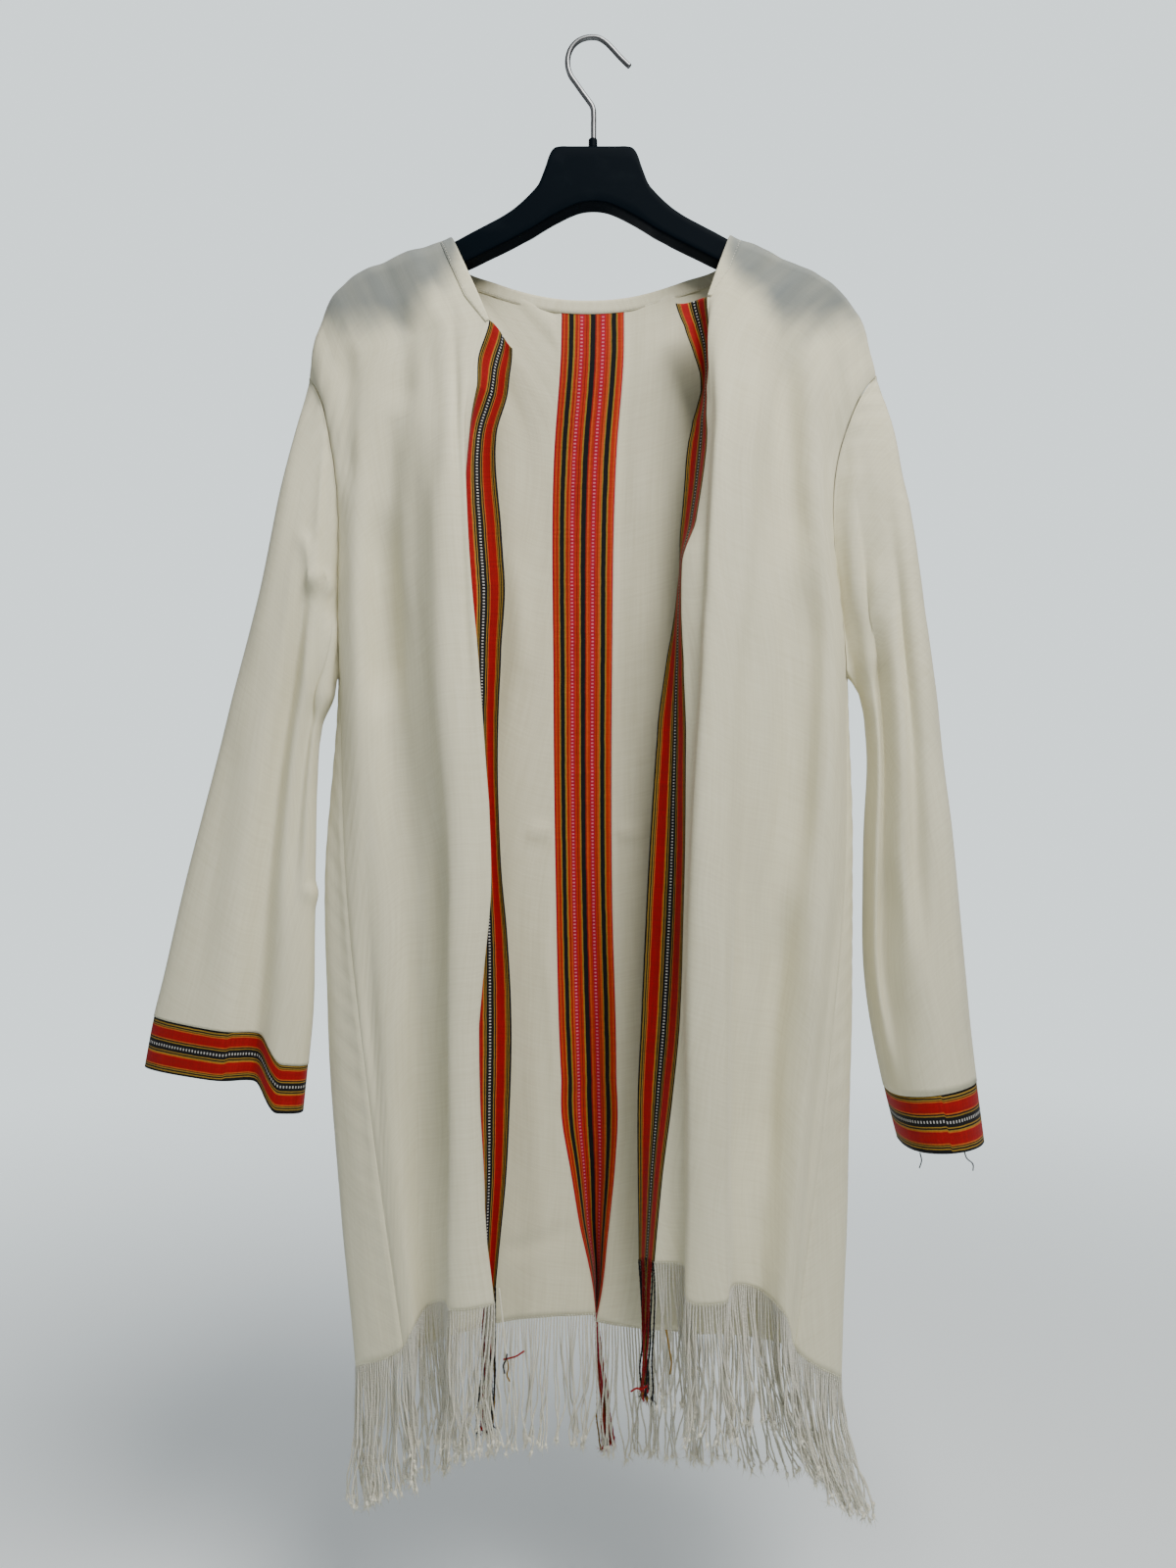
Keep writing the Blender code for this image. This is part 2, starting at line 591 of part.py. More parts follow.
def add_fringe(name, panel, across, material, collection):
    """A narrow strip just below the hem, and the strands that hang from it, in one closed mesh."""
    hem = hem_line(panel, across)
    lengths = np.concatenate([[0], np.cumsum(np.linalg.norm(np.diff(hem, axis=0), axis=1))])

    def along_hem(mark):
        return np.array([np.interp(mark, lengths, hem[:, axis]) for axis in range(3)])

    marks = strand_marks(lengths[-1])
    points, faces = [], []
    for mark in marks:
        point = along_hem(mark)
        along = along_hem(mark + 1) - along_hem(mark - 1)
        normal = np.array((along[1], -along[0], 0.0))
        normal *= WALL / 2 / np.linalg.norm(normal)
        for drop in (FRINGE_GAP, FRINGE_GAP + FRINGE_STRIP):
            for side in (1, -1):
                points.append(point + normal * side - np.array((0, 0, drop)))
    last = len(marks) - 1
    for k in range(last):
        a, b = 4 * k, 4 * k + 4
        faces += [(a, b, b + 1, a + 1), (a, a + 2, b + 2, b), (a + 1, b + 1, b + 3, a + 3)]
        root = (a + 2, a + 3, b + 3, b + 2)
        if k % 2 == 0:
            faces.append(root)
            continue
        strand = (k - 1) // 2
        length = FRINGE_LENGTH - FRINGE_STRIP + FRINGE_UNEVEN * math.sin(1.9 * strand)
        corners = [points[c] for c in root]
        centre = sum(corners) / 4
        tip = len(points)
        points += [centre + (corner - centre) * TIP_SHARE - np.array((0, 0, length)) for corner in corners]
        for c in range(4):
            d = (c + 1) % 4
            faces.append((root[c], tip + c, tip + d, root[d]))
        faces.append((tip, tip + 1, tip + 2, tip + 3))
    faces.append((0, 1, 3, 2))
    faces.append((4 * last, 4 * last + 2, 4 * last + 3, 4 * last + 1))
    new_object(name, points, faces, material, collection)


def add_hanger(materials, collection):
    """The moulded body, the short collar on top of it and the bent wire hook."""
    sections = HANGER + [arm._replace(x=-arm.x) for arm in reversed(HANGER[:-1])]
    points, faces = [], []
    for arm in sections:
        for k in range(HANGER_SIDES):
            angle = 2 * math.pi * (k + 0.5) / HANGER_SIDES
            y = math.copysign(abs(math.cos(angle)) ** arm.power, math.cos(angle)) * arm.half
            rise = math.copysign(abs(math.sin(angle)) ** arm.power, math.sin(angle))
            flat = 1.0 if arm.top == HANGER_TOP else 0.98
            z = arm.top + arm.height / 2 * (min(rise / flat, 1.0) - 1) - HANGER_TILT * arm.x
            points.append((arm.x, y, z))
    for i in range(len(sections) - 1):
        for k in range(HANGER_SIDES):
            a, b = i * HANGER_SIDES + k, i * HANGER_SIDES + (k + 1) % HANGER_SIDES
            faces.append((a, a + HANGER_SIDES, b + HANGER_SIDES, b))
    faces.append(tuple(range(HANGER_SIDES)))
    faces.append(tuple(reversed(range(len(points) - HANGER_SIDES, len(points)))))
    new_object("hanger_body", points, faces, materials["hanger"], collection)

    collar_base = HANGER_TOP + TOUCH_GAP
    bpy.ops.mesh.primitive_cylinder_add(
        vertices=16,
        radius=COLLAR_RADIUS * MM,
        depth=(COLLAR_TOP - collar_base) * MM,
        location=(0, 0, (COLLAR_TOP + collar_base) / 2 * MM),
    )
    collar = bpy.context.object
    collar.name = "hanger_collar"
    collar.data.materials.append(materials["hanger"])
    for other in collar.users_collection:
        other.objects.unlink(collar)
    collection.objects.link(collar)

    radius = HOOK_WIRE / 2
    turn = HOOK_OPENING / 2 + radius
    route = list(HOOK_STEM)
    for degrees in range(200, -15, -12):
        angle = math.radians(degrees)
        x = HOOK_CENTRE_X + HOOK_STRETCH * turn * math.cos(angle)
        route.append((x, radius - turn + turn * math.sin(angle)))
    curve = bpy.data.curves.new("hanger_hook", "CURVE")
    curve.dimensions = "3D"
    curve.bevel_depth = radius * MM
    curve.bevel_resolution = 2
    curve.use_fill_caps = True
    wire = curve.splines.new("POLY")
    wire.points.add(len(route) - 1)
    for point, (x, z) in zip(wire.points, route):
        point.co = (x * MM, 0, z * MM, 1)
    hook = bpy.data.objects.new("hanger_hook", curve)
    curve.materials.append(materials["wire"])
    collection.objects.link(hook)


def new_material(name, colour, roughness, metallic=0.0):
    material = bpy.data.materials.new(name)
    material.use_nodes = True
    shader = material.node_tree.nodes["Principled BSDF"]
    shader.inputs["Base Color"].default_value = (*colour, 1)
    shader.inputs["Roughness"].default_value = roughness
    shader.inputs["Metallic"].default_value = metallic
    return material


def main():
    for obj in list(bpy.data.objects):
        bpy.data.objects.remove(obj)
    collection = bpy.data.collections.new("kimono_jacket_on_hanger")
    bpy.context.scene.collection.children.link(collection)
    materials = {
        "cloth": new_material("ivory_cloth", (0.80, 0.77, 0.68), 0.9),
        "band": new_material("woven_band", (0.55, 0.08, 0.06), 0.85),
        "fringe": new_material("fringe_thread", (0.82, 0.79, 0.70), 0.9),
        "hanger": new_material("dark_plastic", (0.02, 0.022, 0.035), 0.35),
        "wire": new_material("bright_wire", (0.75, 0.76, 0.78), 0.22, 1.0),
    }
    add_hanger(materials, collection)
    add_front("front_left", LEFT_ROOT, LEFT_FREE, LEFT_SIDE, materials, collection)
    add_front("front_right", RIGHT_ROOT, RIGHT_FREE, RIGHT_SIDE, materials, collection)
    add_back(materials, collection)
    add_sleeve("sleeve_left", LEFT_SEAM, SLEEVE_LEFT, VALLEYS_LEFT, materials, collection)
    add_sleeve("sleeve_right", RIGHT_SEAM, SLEEVE_RIGHT, VALLEYS_RIGHT, materials, collection)
    for name, places in neck_paths().items():
        add_binding(name, places, materials["cloth"], collection)


main()
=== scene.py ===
import math
from collections import namedtuple

import bpy
import numpy as np
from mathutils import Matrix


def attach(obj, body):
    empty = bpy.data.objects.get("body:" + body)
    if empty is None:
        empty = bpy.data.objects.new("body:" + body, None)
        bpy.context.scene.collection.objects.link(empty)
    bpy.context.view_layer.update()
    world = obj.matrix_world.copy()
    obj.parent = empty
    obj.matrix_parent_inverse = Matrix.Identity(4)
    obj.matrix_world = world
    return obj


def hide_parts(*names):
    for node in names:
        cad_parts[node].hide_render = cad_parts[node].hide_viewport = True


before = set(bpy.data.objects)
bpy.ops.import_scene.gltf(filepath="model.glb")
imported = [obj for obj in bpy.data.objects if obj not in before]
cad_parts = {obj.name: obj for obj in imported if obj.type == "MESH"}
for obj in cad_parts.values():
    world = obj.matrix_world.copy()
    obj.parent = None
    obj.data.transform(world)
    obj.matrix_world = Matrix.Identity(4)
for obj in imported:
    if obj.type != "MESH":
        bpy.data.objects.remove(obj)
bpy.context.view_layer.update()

MM = 0.001

# Camera, light and floor. The camera stands where the photograph was taken from, a little over a metre in
# front of the hook and level with the jacket's middle. The light is a cool room's, with a soft lamp high on
# the right.
CAMERA_PLACE = (-4.2, -1100.0, -637.6)
FRAME_HALF_HEIGHT = 672.0
SENSOR = 36.0
ROOM_COLOUR = (0.80, 0.86, 0.90, 1)
ROOM_STRENGTH = 0.19
BACKDROP_COLOUR = (0.785, 0.872, 0.895, 1)
BACKDROP_STRENGTH = 1.55
FLOOR_Z = -1420.0
FLOOR_RADIUS_M, FLOOR_PLAIN_M, FLOOR_SIDES = 2.6, 0.5, 96
FLOOR_COLOUR = (0.88, 0.93, 0.94, 1)
Lamp = namedtuple("Lamp", "name place aim size watts colour")
LAMPS = (
    Lamp("window_lamp", (600, -1150, 1150), (0, 0, -420), 1.2, 70, (1.0, 0.985, 0.955)),
    Lamp("far_side_lamp", (-2300, -900, 300), (0, 0, -650), 1.6, 6, (0.90, 0.95, 1.0)),
    Lamp("back_lamp", (-600, 2300, 700), (0, 0, -600), 2.2, 34, (0.95, 0.97, 1.0)),
)

camera = bpy.data.objects.new("camera", bpy.data.cameras.new("camera"))
camera.location = [value * MM for value in CAMERA_PLACE]
camera.rotation_euler = (math.pi / 2, 0, 0)
camera.data.sensor_width = SENSOR
camera.data.lens = SENSOR / 2 * -CAMERA_PLACE[1] / FRAME_HALF_HEIGHT
bpy.context.scene.collection.objects.link(camera)
bpy.context.scene.camera = camera

for lamp in LAMPS:
    light = bpy.data.lights.new(lamp.name, "AREA")
    light.shape = "DISK"
    light.size = lamp.size
    light.energy = lamp.watts
    light.color = lamp.colour
    holder = bpy.data.objects.new(lamp.name, light)
    holder.location = np.array(lamp.place) * MM
    way = np.array(lamp.aim) * MM - holder.location
    holder.rotation_euler = (
        math.atan2(math.hypot(way[0], way[1]), -way[2]),
        0,
        math.atan2(way[1], way[0]) - math.pi / 2,
    )
    bpy.context.scene.collection.objects.link(holder)


def join(tree, target, source):
    """Sets a socket: to another socket's output, or to a plain value."""
    if isinstance(source, bpy.types.NodeSocket):
        tree.links.new(source, target)
    else:
        target.default_value = source


def math_node(tree, operation, *values):
    node = tree.nodes.new("ShaderNodeMath")
    node.operation = operation
    for target, source in zip(node.inputs, values):
        join(tree, target, source)
    return node.outputs[0]


def soft_step(tree, value, low, high):
    """0 below low, 1 above high and a smooth rise between them."""
    node = tree.nodes.new("ShaderNodeMapRange")
    node.interpolation_type = "SMOOTHSTEP"
    join(tree, node.inputs["Value"], value)
    node.inputs["From Min"].default_value = low
    node.inputs["From Max"].default_value = high
    return node.outputs["Result"]


def object_place(tree):
    """Each point's place in the object's own metres."""
    return tree.nodes.new("ShaderNodeTexCoord").outputs["Object"]


def split_place(tree, place):
    """A place's x, y and z."""
    node = tree.nodes.new("ShaderNodeSeparateXYZ")
    tree.links.new(place, node.inputs[0])
    return node.outputs["X"], node.outputs["Y"], node.outputs["Z"]


world = bpy.data.worlds.new("room")
world.use_nodes = True
tree = world.node_tree
lighting = tree.nodes["Background"]
lighting.inputs["Color"].default_value = ROOM_COLOUR
lighting.inputs["Strength"].default_value = ROOM_STRENGTH
backdrop = tree.nodes.new("ShaderNodeBackground")
backdrop.inputs["Color"].default_value = BACKDROP_COLOUR
backdrop.inputs["Strength"].default_value = BACKDROP_STRENGTH
either = tree.nodes.new("ShaderNodeMixShader")
tree.links.new(tree.nodes.new("ShaderNodeLightPath").outputs["Is Camera Ray"], either.inputs[0])
tree.links.new(lighting.outputs[0], either.inputs[1])
tree.links.new(backdrop.outputs[0], either.inputs[2])
tree.links.new(either.outputs[0], tree.nodes["World Output"].inputs["Surface"])
bpy.context.scene.world = world

# The floor's edge fades out, so that no horizon shows behind the jacket.
paint = bpy.data.materials.new("pale_floor")
paint.use_nodes = True
tree = paint.node_tree
shader = tree.nodes["Principled BSDF"]
shader.inputs["Base Color"].default_value = FLOOR_COLOUR
shader.inputs["Roughness"].default_value = 0.8
shader.inputs["Specular IOR Level"].default_value = 0.1
flat_x, flat_y, _ = split_place(tree, object_place(tree))
squared = math_node(tree, "ADD", math_node(tree, "POWER", flat_x, 2.0), math_node(tree, "POWER", flat_y, 2.0))
fade = soft_step(tree, math_node(tree, "SQRT", squared), FLOOR_PLAIN_M, FLOOR_RADIUS_M)
join(tree, shader.inputs["Alpha"], math_node(tree, "SUBTRACT", 1.0, fade))
floor_data = bpy.data.meshes.new("floor")
angles = [2 * math.pi * k / FLOOR_SIDES for k in range(FLOOR_SIDES)]
rim = [(FLOOR_RADIUS_M * math.cos(a), FLOOR_RADIUS_M * math.sin(a), FLOOR_Z * MM) for a in angles]
floor_data.from_pydata(rim, [], [tuple(range(FLOOR_SIDES))])
floor_data.materials.append(paint)
floor = bpy.data.objects.new("floor", floor_data)
bpy.context.scene.collection.objects.link(floor)

# The hanger: a moulded body of dark satin plastic with an arched middle, long sloping arms and rounded edges,
# a short collar on top of it, and a hook of bent bright wire that is pressed into the collar.

# A row for each section, out from the middle: its x, its top, its foot and half its thickness.
Arm = namedtuple("Arm", "x top foot half")

HANGER = [
    Arm(0, -93.0, -143.1, 11.0),
    Arm(12, -93.0, -144.6, 11.0),
    Arm(20, -93.0, -147.6, 11.0),
    Arm(29, -93.1, -152.0, 11.0),
    Arm(32.6, -93.9, -153.9, 11.0),
    Arm(35.4, -96.4, -155.4, 11.0),
    Arm(37.8, -101.0, -156.8, 11.0),
    Arm(40.3, -108.4, -158.3, 11.0),
    Arm(43.3, -116.6, -160.1, 11.0),
    Arm(47, -125.2, -162.4, 11.0),
    Arm(53, -132.4, -166.2, 11.0),
    Arm(60, -139.4, -169.8, 11.0),
    Arm(68, -146.2, -174.2, 11.0),
    Arm(78, -152.8, -179.2, 11.0),
    Arm(90, -159.2, -185.0, 10.8),
    Arm(104, -166.4, -192.0, 10.5),
    Arm(119, -174.4, -198.0, 10.2),
    Arm(150, -187.5, -208.5, 11.0),
    Arm(180, -200, -221, 12.0),
    Arm(203, -215.5, -236.5, 12.0),
    Arm(214, -226.5, -244.5, 10.0),
    Arm(218, -232, -245.5, 7.0),
]
HANGER_MIDDLE_X, HANGER_MIDDLE_Y = 0.5, 0.5
HANGER_SECTIONS = 220
# How high its top is crowned, and how much its corners below are rounded.
CROWN, CORNER = 5.2, 1.6
CROWN_STEPS, SIDE_STEPS, CORNER_STEPS, UNDERSIDE_STEPS = 16, 7, 4, 6
# The middle of the hook's wire, from the collar up and over: x and z.
HOOK_ROUTE = [
    (0.5, -93.0), (0.5, -75.0), (0.5, -64.0), (0.3, -60.0), (-0.9, -56.4), (-3.4, -52.6), (-7.6, -46.9),
    (-14.3, -37.4), (-19.3, -30.0), (-21.6, -21.8), (-21.1, -13.4), (-17.7, -5.7), (-11.8, -0.4), (-4.4, 2.1),
    (0.0, 2.35), (4.0, 1.9), (10.4, -1.5), (16.2, -7.0), (21.8, -13.2), (26.9, -18.4), (31.2, -22.4),
]
HOOK_WIRE, HOOK_STEPS, HOOK_SIDES = 4.7, 170, 20
# The radii that round off the wire's ends, as shares of its own.
HOOK_ENDS = (0.9, 0.0)
# The collar's outline: its radius and height, from its foot to its mouth.
COLLAR_OUTLINE = [
    (3.2, -93.8), (4.0, -93.0), (3.8, -91.8), (3.75, -87.0), (3.6, -85.4), (3.1, -85.0), (2.5, -85.3),
]
COLLAR_SIDES = 32
PLASTIC_COLOUR, DUST_COLOUR = (0.0010, 0.0034, 0.0062, 1), (0.003, 0.006, 0.009, 1)
DUST_GRAIN_M, SCUFF_GRAIN_M, MOULD_GRAIN_M = (0.03, 0.02, 0.02), (0.010, 0.002, 0.0007), (0.0012,) * 3
DUST_FROM, DUST_TO = 0.52, 0.80
PLASTIC_ROUGHNESS, SCUFF_ROUGHNESS = 0.46, 0.12
WIRE_COLOUR, WIRE_SHADE = (0.21, 0.215, 0.22, 1), (0.17, 0.17, 0.175, 1)
DRAW_GRAIN_M, TARNISH_GRAIN_M = (0.0015, 0.0015, 0.02), (0.008,) * 3
TARNISH_FROM, TARNISH_TO = 0.45, 0.75
WIRE_ROUGHNESS, DRAW_ROUGHNESS = 0.38, 0.03
# A tube's end is this share of a round one's length, and closes to this share of its radius at the least.
END_LENGTH, END_POINT = 0.5, 0.05


def between(a, b, c, d, t):
    """Smooth values from b to c as t goes from 0 to 1, on a curve through all four."""
    before, length, after = (
        np.maximum(np.linalg.norm(q - p, axis=-1, keepdims=True), 1e-6) for p, q in ((a, b), (b, c), (c, d))
    )
    leave = ((b - a) / before * length + (c - b) / length * before) / (before + length) * length
    arrive = ((c - b) / length * after + (d - c) / after * length) / (length + after) * length
    return (
        (2 * t**3 - 3 * t**2 + 1) * b
        + (t**3 - 2 * t**2 + t) * leave
        + (3 * t**2 - 2 * t**3) * c
        + (t**3 - t**2) * arrive
    )


def spline(rows, places):
    """The rows blended at each place, where place 0 is the first row and place 1 the second."""
    rows = np.asarray(rows, float)
    index = np.clip(np.floor(places).astype(int), 0, len(rows) - 2)
    padded = np.concatenate([[2 * rows[0] - rows[1]], rows, [2 * rows[-1] - rows[-2]]])
    t = (places - index).reshape(-1, *[1] * (rows.ndim - 1))
    return between(padded[index], padded[index + 1], padded[index + 2], padded[index + 3], t)


def ring_mesh(name, rings, material, bias=False):
    """A solid through rings of points, with its two ends closed and its faces outwards. The UV map holds
    metres round and along it, turned by an eighth of a circle for cloth that is cut on the bias."""
    rings = np.asarray(rings, float)
    count, sides = rings.shape[:2]
    ends = np.roll(rings[0], -1, axis=0) - rings[0]
    around = np.concatenate([[0], np.cumsum(np.linalg.norm(ends, axis=1))])
    centres = rings.mean(axis=1)
    along = np.concatenate([[0], np.cumsum(np.linalg.norm(np.diff(centres, axis=0), axis=1))])
    faces, corners = [], []
    for i in range(count - 1):
        for k in range(sides):
            a, b = i * sides + k, i * sides + (k + 1) % sides
            faces.append((a, b, b + sides, a + sides))
            corners += [(around[k], along[i]), (around[k + 1], along[i])]
            corners += [(around[k + 1], along[i + 1]), (around[k], along[i + 1])]
    middle = centres.mean(axis=0)
    quads = rings.reshape(-1, 3)[np.array(faces)] - middle
    size = np.einsum("ij,ij->", quads[:, 0], np.cross(quads[:, 1], quads[:, 2]))
    size += np.einsum("ij,ij->", quads[:, 0], np.cross(quads[:, 2], quads[:, 3]))
    faces.append(tuple(reversed(range(sides))))
    faces.append(tuple(range((count - 1) * sides, count * sides)))
    corners += [(around[k], along[0]) for k in reversed(range(sides))]
    corners += [(around[k], along[-1]) for k in range(sides)]
    data = bpy.data.meshes.new(name)
    data.from_pydata((rings.reshape(-1, 3) * MM).tolist(), [], faces)
    corners = np.array(corners) * MM
    if bias:
        corners = np.stack([corners[:, 0] + corners[:, 1], corners[:, 0] - corners[:, 1]], 1) * math.sqrt(0.5)
    data.uv_layers.new(name="flat_cloth").data.foreach_set("uv", corners.ravel().astype(np.float32))
    if size < 0:
        data.flip_normals()
    data.materials.append(material)
    data.shade_smooth()
    solid = bpy.data.objects.new(name, data)
    bpy.context.scene.collection.objects.link(solid)
    return solid


def tube(name, path, radius, sides, material, ends):
    """A round thread or wire along a path. ends are the last radii at both ends, as shares of the whole."""
    path = np.asarray(path, float)
    ahead = np.gradient(path, axis=0)
    ahead /= np.linalg.norm(ahead, axis=1, keepdims=True)
    across = np.cross(ahead, (0.0, 1.0, 0.0))
    across /= np.linalg.norm(across, axis=1, keepdims=True)
    up = np.cross(across, ahead)
    turn = 2 * np.pi * np.arange(sides) / sides
    circle = np.cos(turn)[:, None] * across[:, None] + np.sin(turn)[:, None] * up[:, None]
    rings = list(path[:, None] + circle * radius)
    for share in ends:
        step = radius * math.sqrt(1 - share * share) * END_LENGTH
        rings.insert(0, path[0] - ahead[0] * step + circle[0] * radius * max(share, END_POINT))
        rings.append(path[-1] + ahead[-1] * step + circle[-1] * radius * max(share, END_POINT))
    return ring_mesh(name, rings, material)


def mix_colours(tree, share, first, second):
    node = tree.nodes.new("ShaderNodeMix")
    node.data_type = "RGBA"
    for label, source in (("Factor_Float", share), ("A_Color", first), ("B_Color", second)):
        join(tree, next(socket for socket in node.inputs if socket.identifier == label), source)
    return next(socket for socket in node.outputs if socket.identifier == "Result_Color")


def grain_noise(tree, place, size, detail=2.0):
    """Noise whose grains have this size in metres along each axis."""
    node = tree.nodes.new("ShaderNodeMapping")
    join(tree, node.inputs["Vector"], place)
    node.inputs["Scale"].default_value = [1 / side for side in size]
    noise = tree.nodes.new("ShaderNodeTexNoise")
    tree.links.new(node.outputs["Vector"], noise.inputs["Vector"])
    noise.inputs["Scale"].default_value = 1.0
    noise.inputs["Detail"].default_value = detail
    return noise.outputs["Fac"]


def add_bump(tree, shader, height, strength, distance):
    bump = tree.nodes.new("ShaderNodeBump")
    bump.inputs["Strength"].default_value = strength
    bump.inputs["Distance"].default_value = distance
    tree.links.new(height, bump.inputs["Height"])
    tree.links.new(bump.outputs["Normal"], shader.inputs["Normal"])


def new_material(name):
    material = bpy.data.materials.new(name)
    material.use_nodes = True
    return material, material.node_tree, material.node_tree.nodes["Principled BSDF"]


plastic, tree, shader = new_material("satin_dark_plastic")
place = object_place(tree)
dust = grain_noise(tree, place, DUST_GRAIN_M, detail=5.0)
scuffs = grain_noise(tree, place, SCUFF_GRAIN_M, detail=3.0)
dusty = mix_colours(tree, soft_step(tree, dust, DUST_FROM, DUST_TO), PLASTIC_COLOUR, DUST_COLOUR)
join(tree, shader.inputs["Base Color"], dusty)
roughness = math_node(tree, "MULTIPLY_ADD", scuffs, SCUFF_ROUGHNESS, PLASTIC_ROUGHNESS)
join(tree, shader.inputs["Roughness"], roughness)
shader.inputs["Specular IOR Level"].default_value = 0.03
add_bump(tree, shader, grain_noise(tree, place, MOULD_GRAIN_M), strength=0.06, distance=0.0001)

wire, tree, shader = new_material("bright_bent_wire")
place = object_place(tree)
draw_marks = grain_noise(tree, place, DRAW_GRAIN_M, detail=3.0)
tarnish = grain_noise(tree, place, TARNISH_GRAIN_M, detail=4.0)
tarnish = soft_step(tree, tarnish, TARNISH_FROM, TARNISH_TO)
tarnished = mix_colours(tree, tarnish, WIRE_COLOUR, WIRE_SHADE)
join(tree, shader.inputs["Base Color"], tarnished)
roughness = math_node(tree, "MULTIPLY_ADD", draw_marks, DRAW_ROUGHNESS, WIRE_ROUGHNESS)
join(tree, shader.inputs["Roughness"], roughness)
shader.inputs["Metallic"].default_value = 1.0
add_bump(tree, shader, draw_marks, strength=0.02, distance=0.00002)

crown = np.linspace(0, math.pi, CROWN_STEPS)
bend = np.linspace(0, math.pi / 2, CORNER_STEPS)
sections = [arm._replace(x=-arm.x) for arm in reversed(HANGER[1:])] + HANGER
rings = []
for arm in spline(sections, np.linspace(0, len(sections) - 1, HANGER_SECTIONS)):
    arm = Arm(*arm)
    side = np.linspace(arm.foot + CORNER, arm.top - CROWN, SIDE_STEPS)[1:-1]
    under = np.linspace(-arm.half + CORNER, arm.half - CORNER, UNDERSIDE_STEPS)[1:-1]
    y = np.concatenate([
        np.full(len(side), arm.half),
        arm.half * np.cos(crown),
        np.full(len(side), -arm.half),
        -arm.half + CORNER - CORNER * np.cos(bend),
        under,
        arm.half - CORNER + CORNER * np.sin(bend),
    ])
    z = np.concatenate([
        side,
        arm.top - CROWN + CROWN * np.sin(crown),
        side[::-1],
        arm.foot + CORNER - CORNER * np.sin(bend),
        np.full(len(under), arm.foot),
        arm.foot + CORNER - CORNER * np.cos(bend),
    ])
    rings.append(np.stack([np.full(len(y), arm.x + HANGER_MIDDLE_X), y + HANGER_MIDDLE_Y, z], 1))
body = ring_mesh("moulded_hanger_body", rings, plastic)
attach(body, "root")
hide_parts("hanger_body")

turn = 2 * np.pi * np.arange(COLLAR_SIDES) / COLLAR_SIDES
rings = [
    np.stack([radius * np.cos(turn), radius * np.sin(turn), np.full(COLLAR_SIDES, z)], 1)
    for radius, z in COLLAR_OUTLINE
]
collar = ring_mesh("turned_collar", rings, plastic)
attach(collar, "root")
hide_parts("hanger_collar")

route = spline([(x, 0, z) for x, z in HOOK_ROUTE], np.linspace(0, len(HOOK_ROUTE) - 1, HOOK_STEPS))
hook = tube("bent_wire_hook", route, HOOK_WIRE / 2, HOOK_SIDES, wire, HOOK_ENDS)
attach(hook, "root")
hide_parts("hanger_hook")

# The two fronts: plain-woven ivory shawl cloth, cut straight, sewn at the shoulder, armhole and side, and
# hanging in soft pleats towards the bands. Each is a thin shell over the folds of its table.
CLOTH = 0.6
# Places down the cloth: 0 is the shoulder, and the chest, the hips and the skirt are 2, 4 and 5.
YOKE, WAIST, HEM = 1, 3, 6
CHEST_Z, WAIST_Z, HIP_Z, SKIRT_Z = -345.0, -545.0, -725.0, -900.0
# The yoke's height is this share of the way from the shoulder to the chest.
YOKE_SHARE = {"front_left": 0.45, "back": 0.35, "front_right": 0.335}
# How much lower than that each front's free edge starts, where the band's top is cut at a slant.
FREE_EDGE_DROP = {"front_left": 24.5, "front_right": 5.0}
# The cloth rounds the shoulder down to this place, and half the armhole's opening from front to back.
SHOULDER_ARC, ARMHOLE_HALF = 0.18, 13.0

# A row for each fold, from one edge of the cloth to the other. top is where it starts on the shoulder: x, y
# and z. across and forward are its x and y at the yoke, chest, waist, hip, skirt and hem. hem is its z there.
Fold = namedtuple("Fold", "name top across forward hem")


def folds(*rows):
    return [Fold(*row) for row in rows]


FRONT_LEFT = folds(
    ("free_edge", (-111, -16, -167), (-68, -81, -78, -74, -68, -81), (-22, -24, -30, -34, -34, -36), -1057),
    ("root", (-122, -16, -171), (-87, -109, -111, -112, -111, -110), (-25, -34, -42, -46, -47, -47), -1057),
    ("turn", (-144, -17, -179), (-104, -106, -94, -80, -85, -81), (-27, -42, -54, -60, -62, -62), -1058),
    ("face", (-157, -18, -184), (-122, -128, -125, -117, -115, -116), (-26, -41, -55, -65, -67, -67), -1062),
    ("foot", (-171, -18, -190), (-144, -148, -144, -126, -122, -123), (-24, -30, -36, -42, -45, -46), -1063),
    ("trough", (-192, -18, -197), (-167, -169, -171, -158, -148, -138), (-22, -19, -16, -25, -30, -33), -1073),
    ("side", (-222, -16, -222), (-200, -200, -198, -189, -171, -148), (-20, -22, -26, -32, -38, -44), -1086),
)
(LEFT_SEAM,) = folds(
    ("left_seam", (-242, 0, -290), (-232, -224, -217, -208, -187, -157), (0, 0, -2, -22, -33, -42), -1103),
)
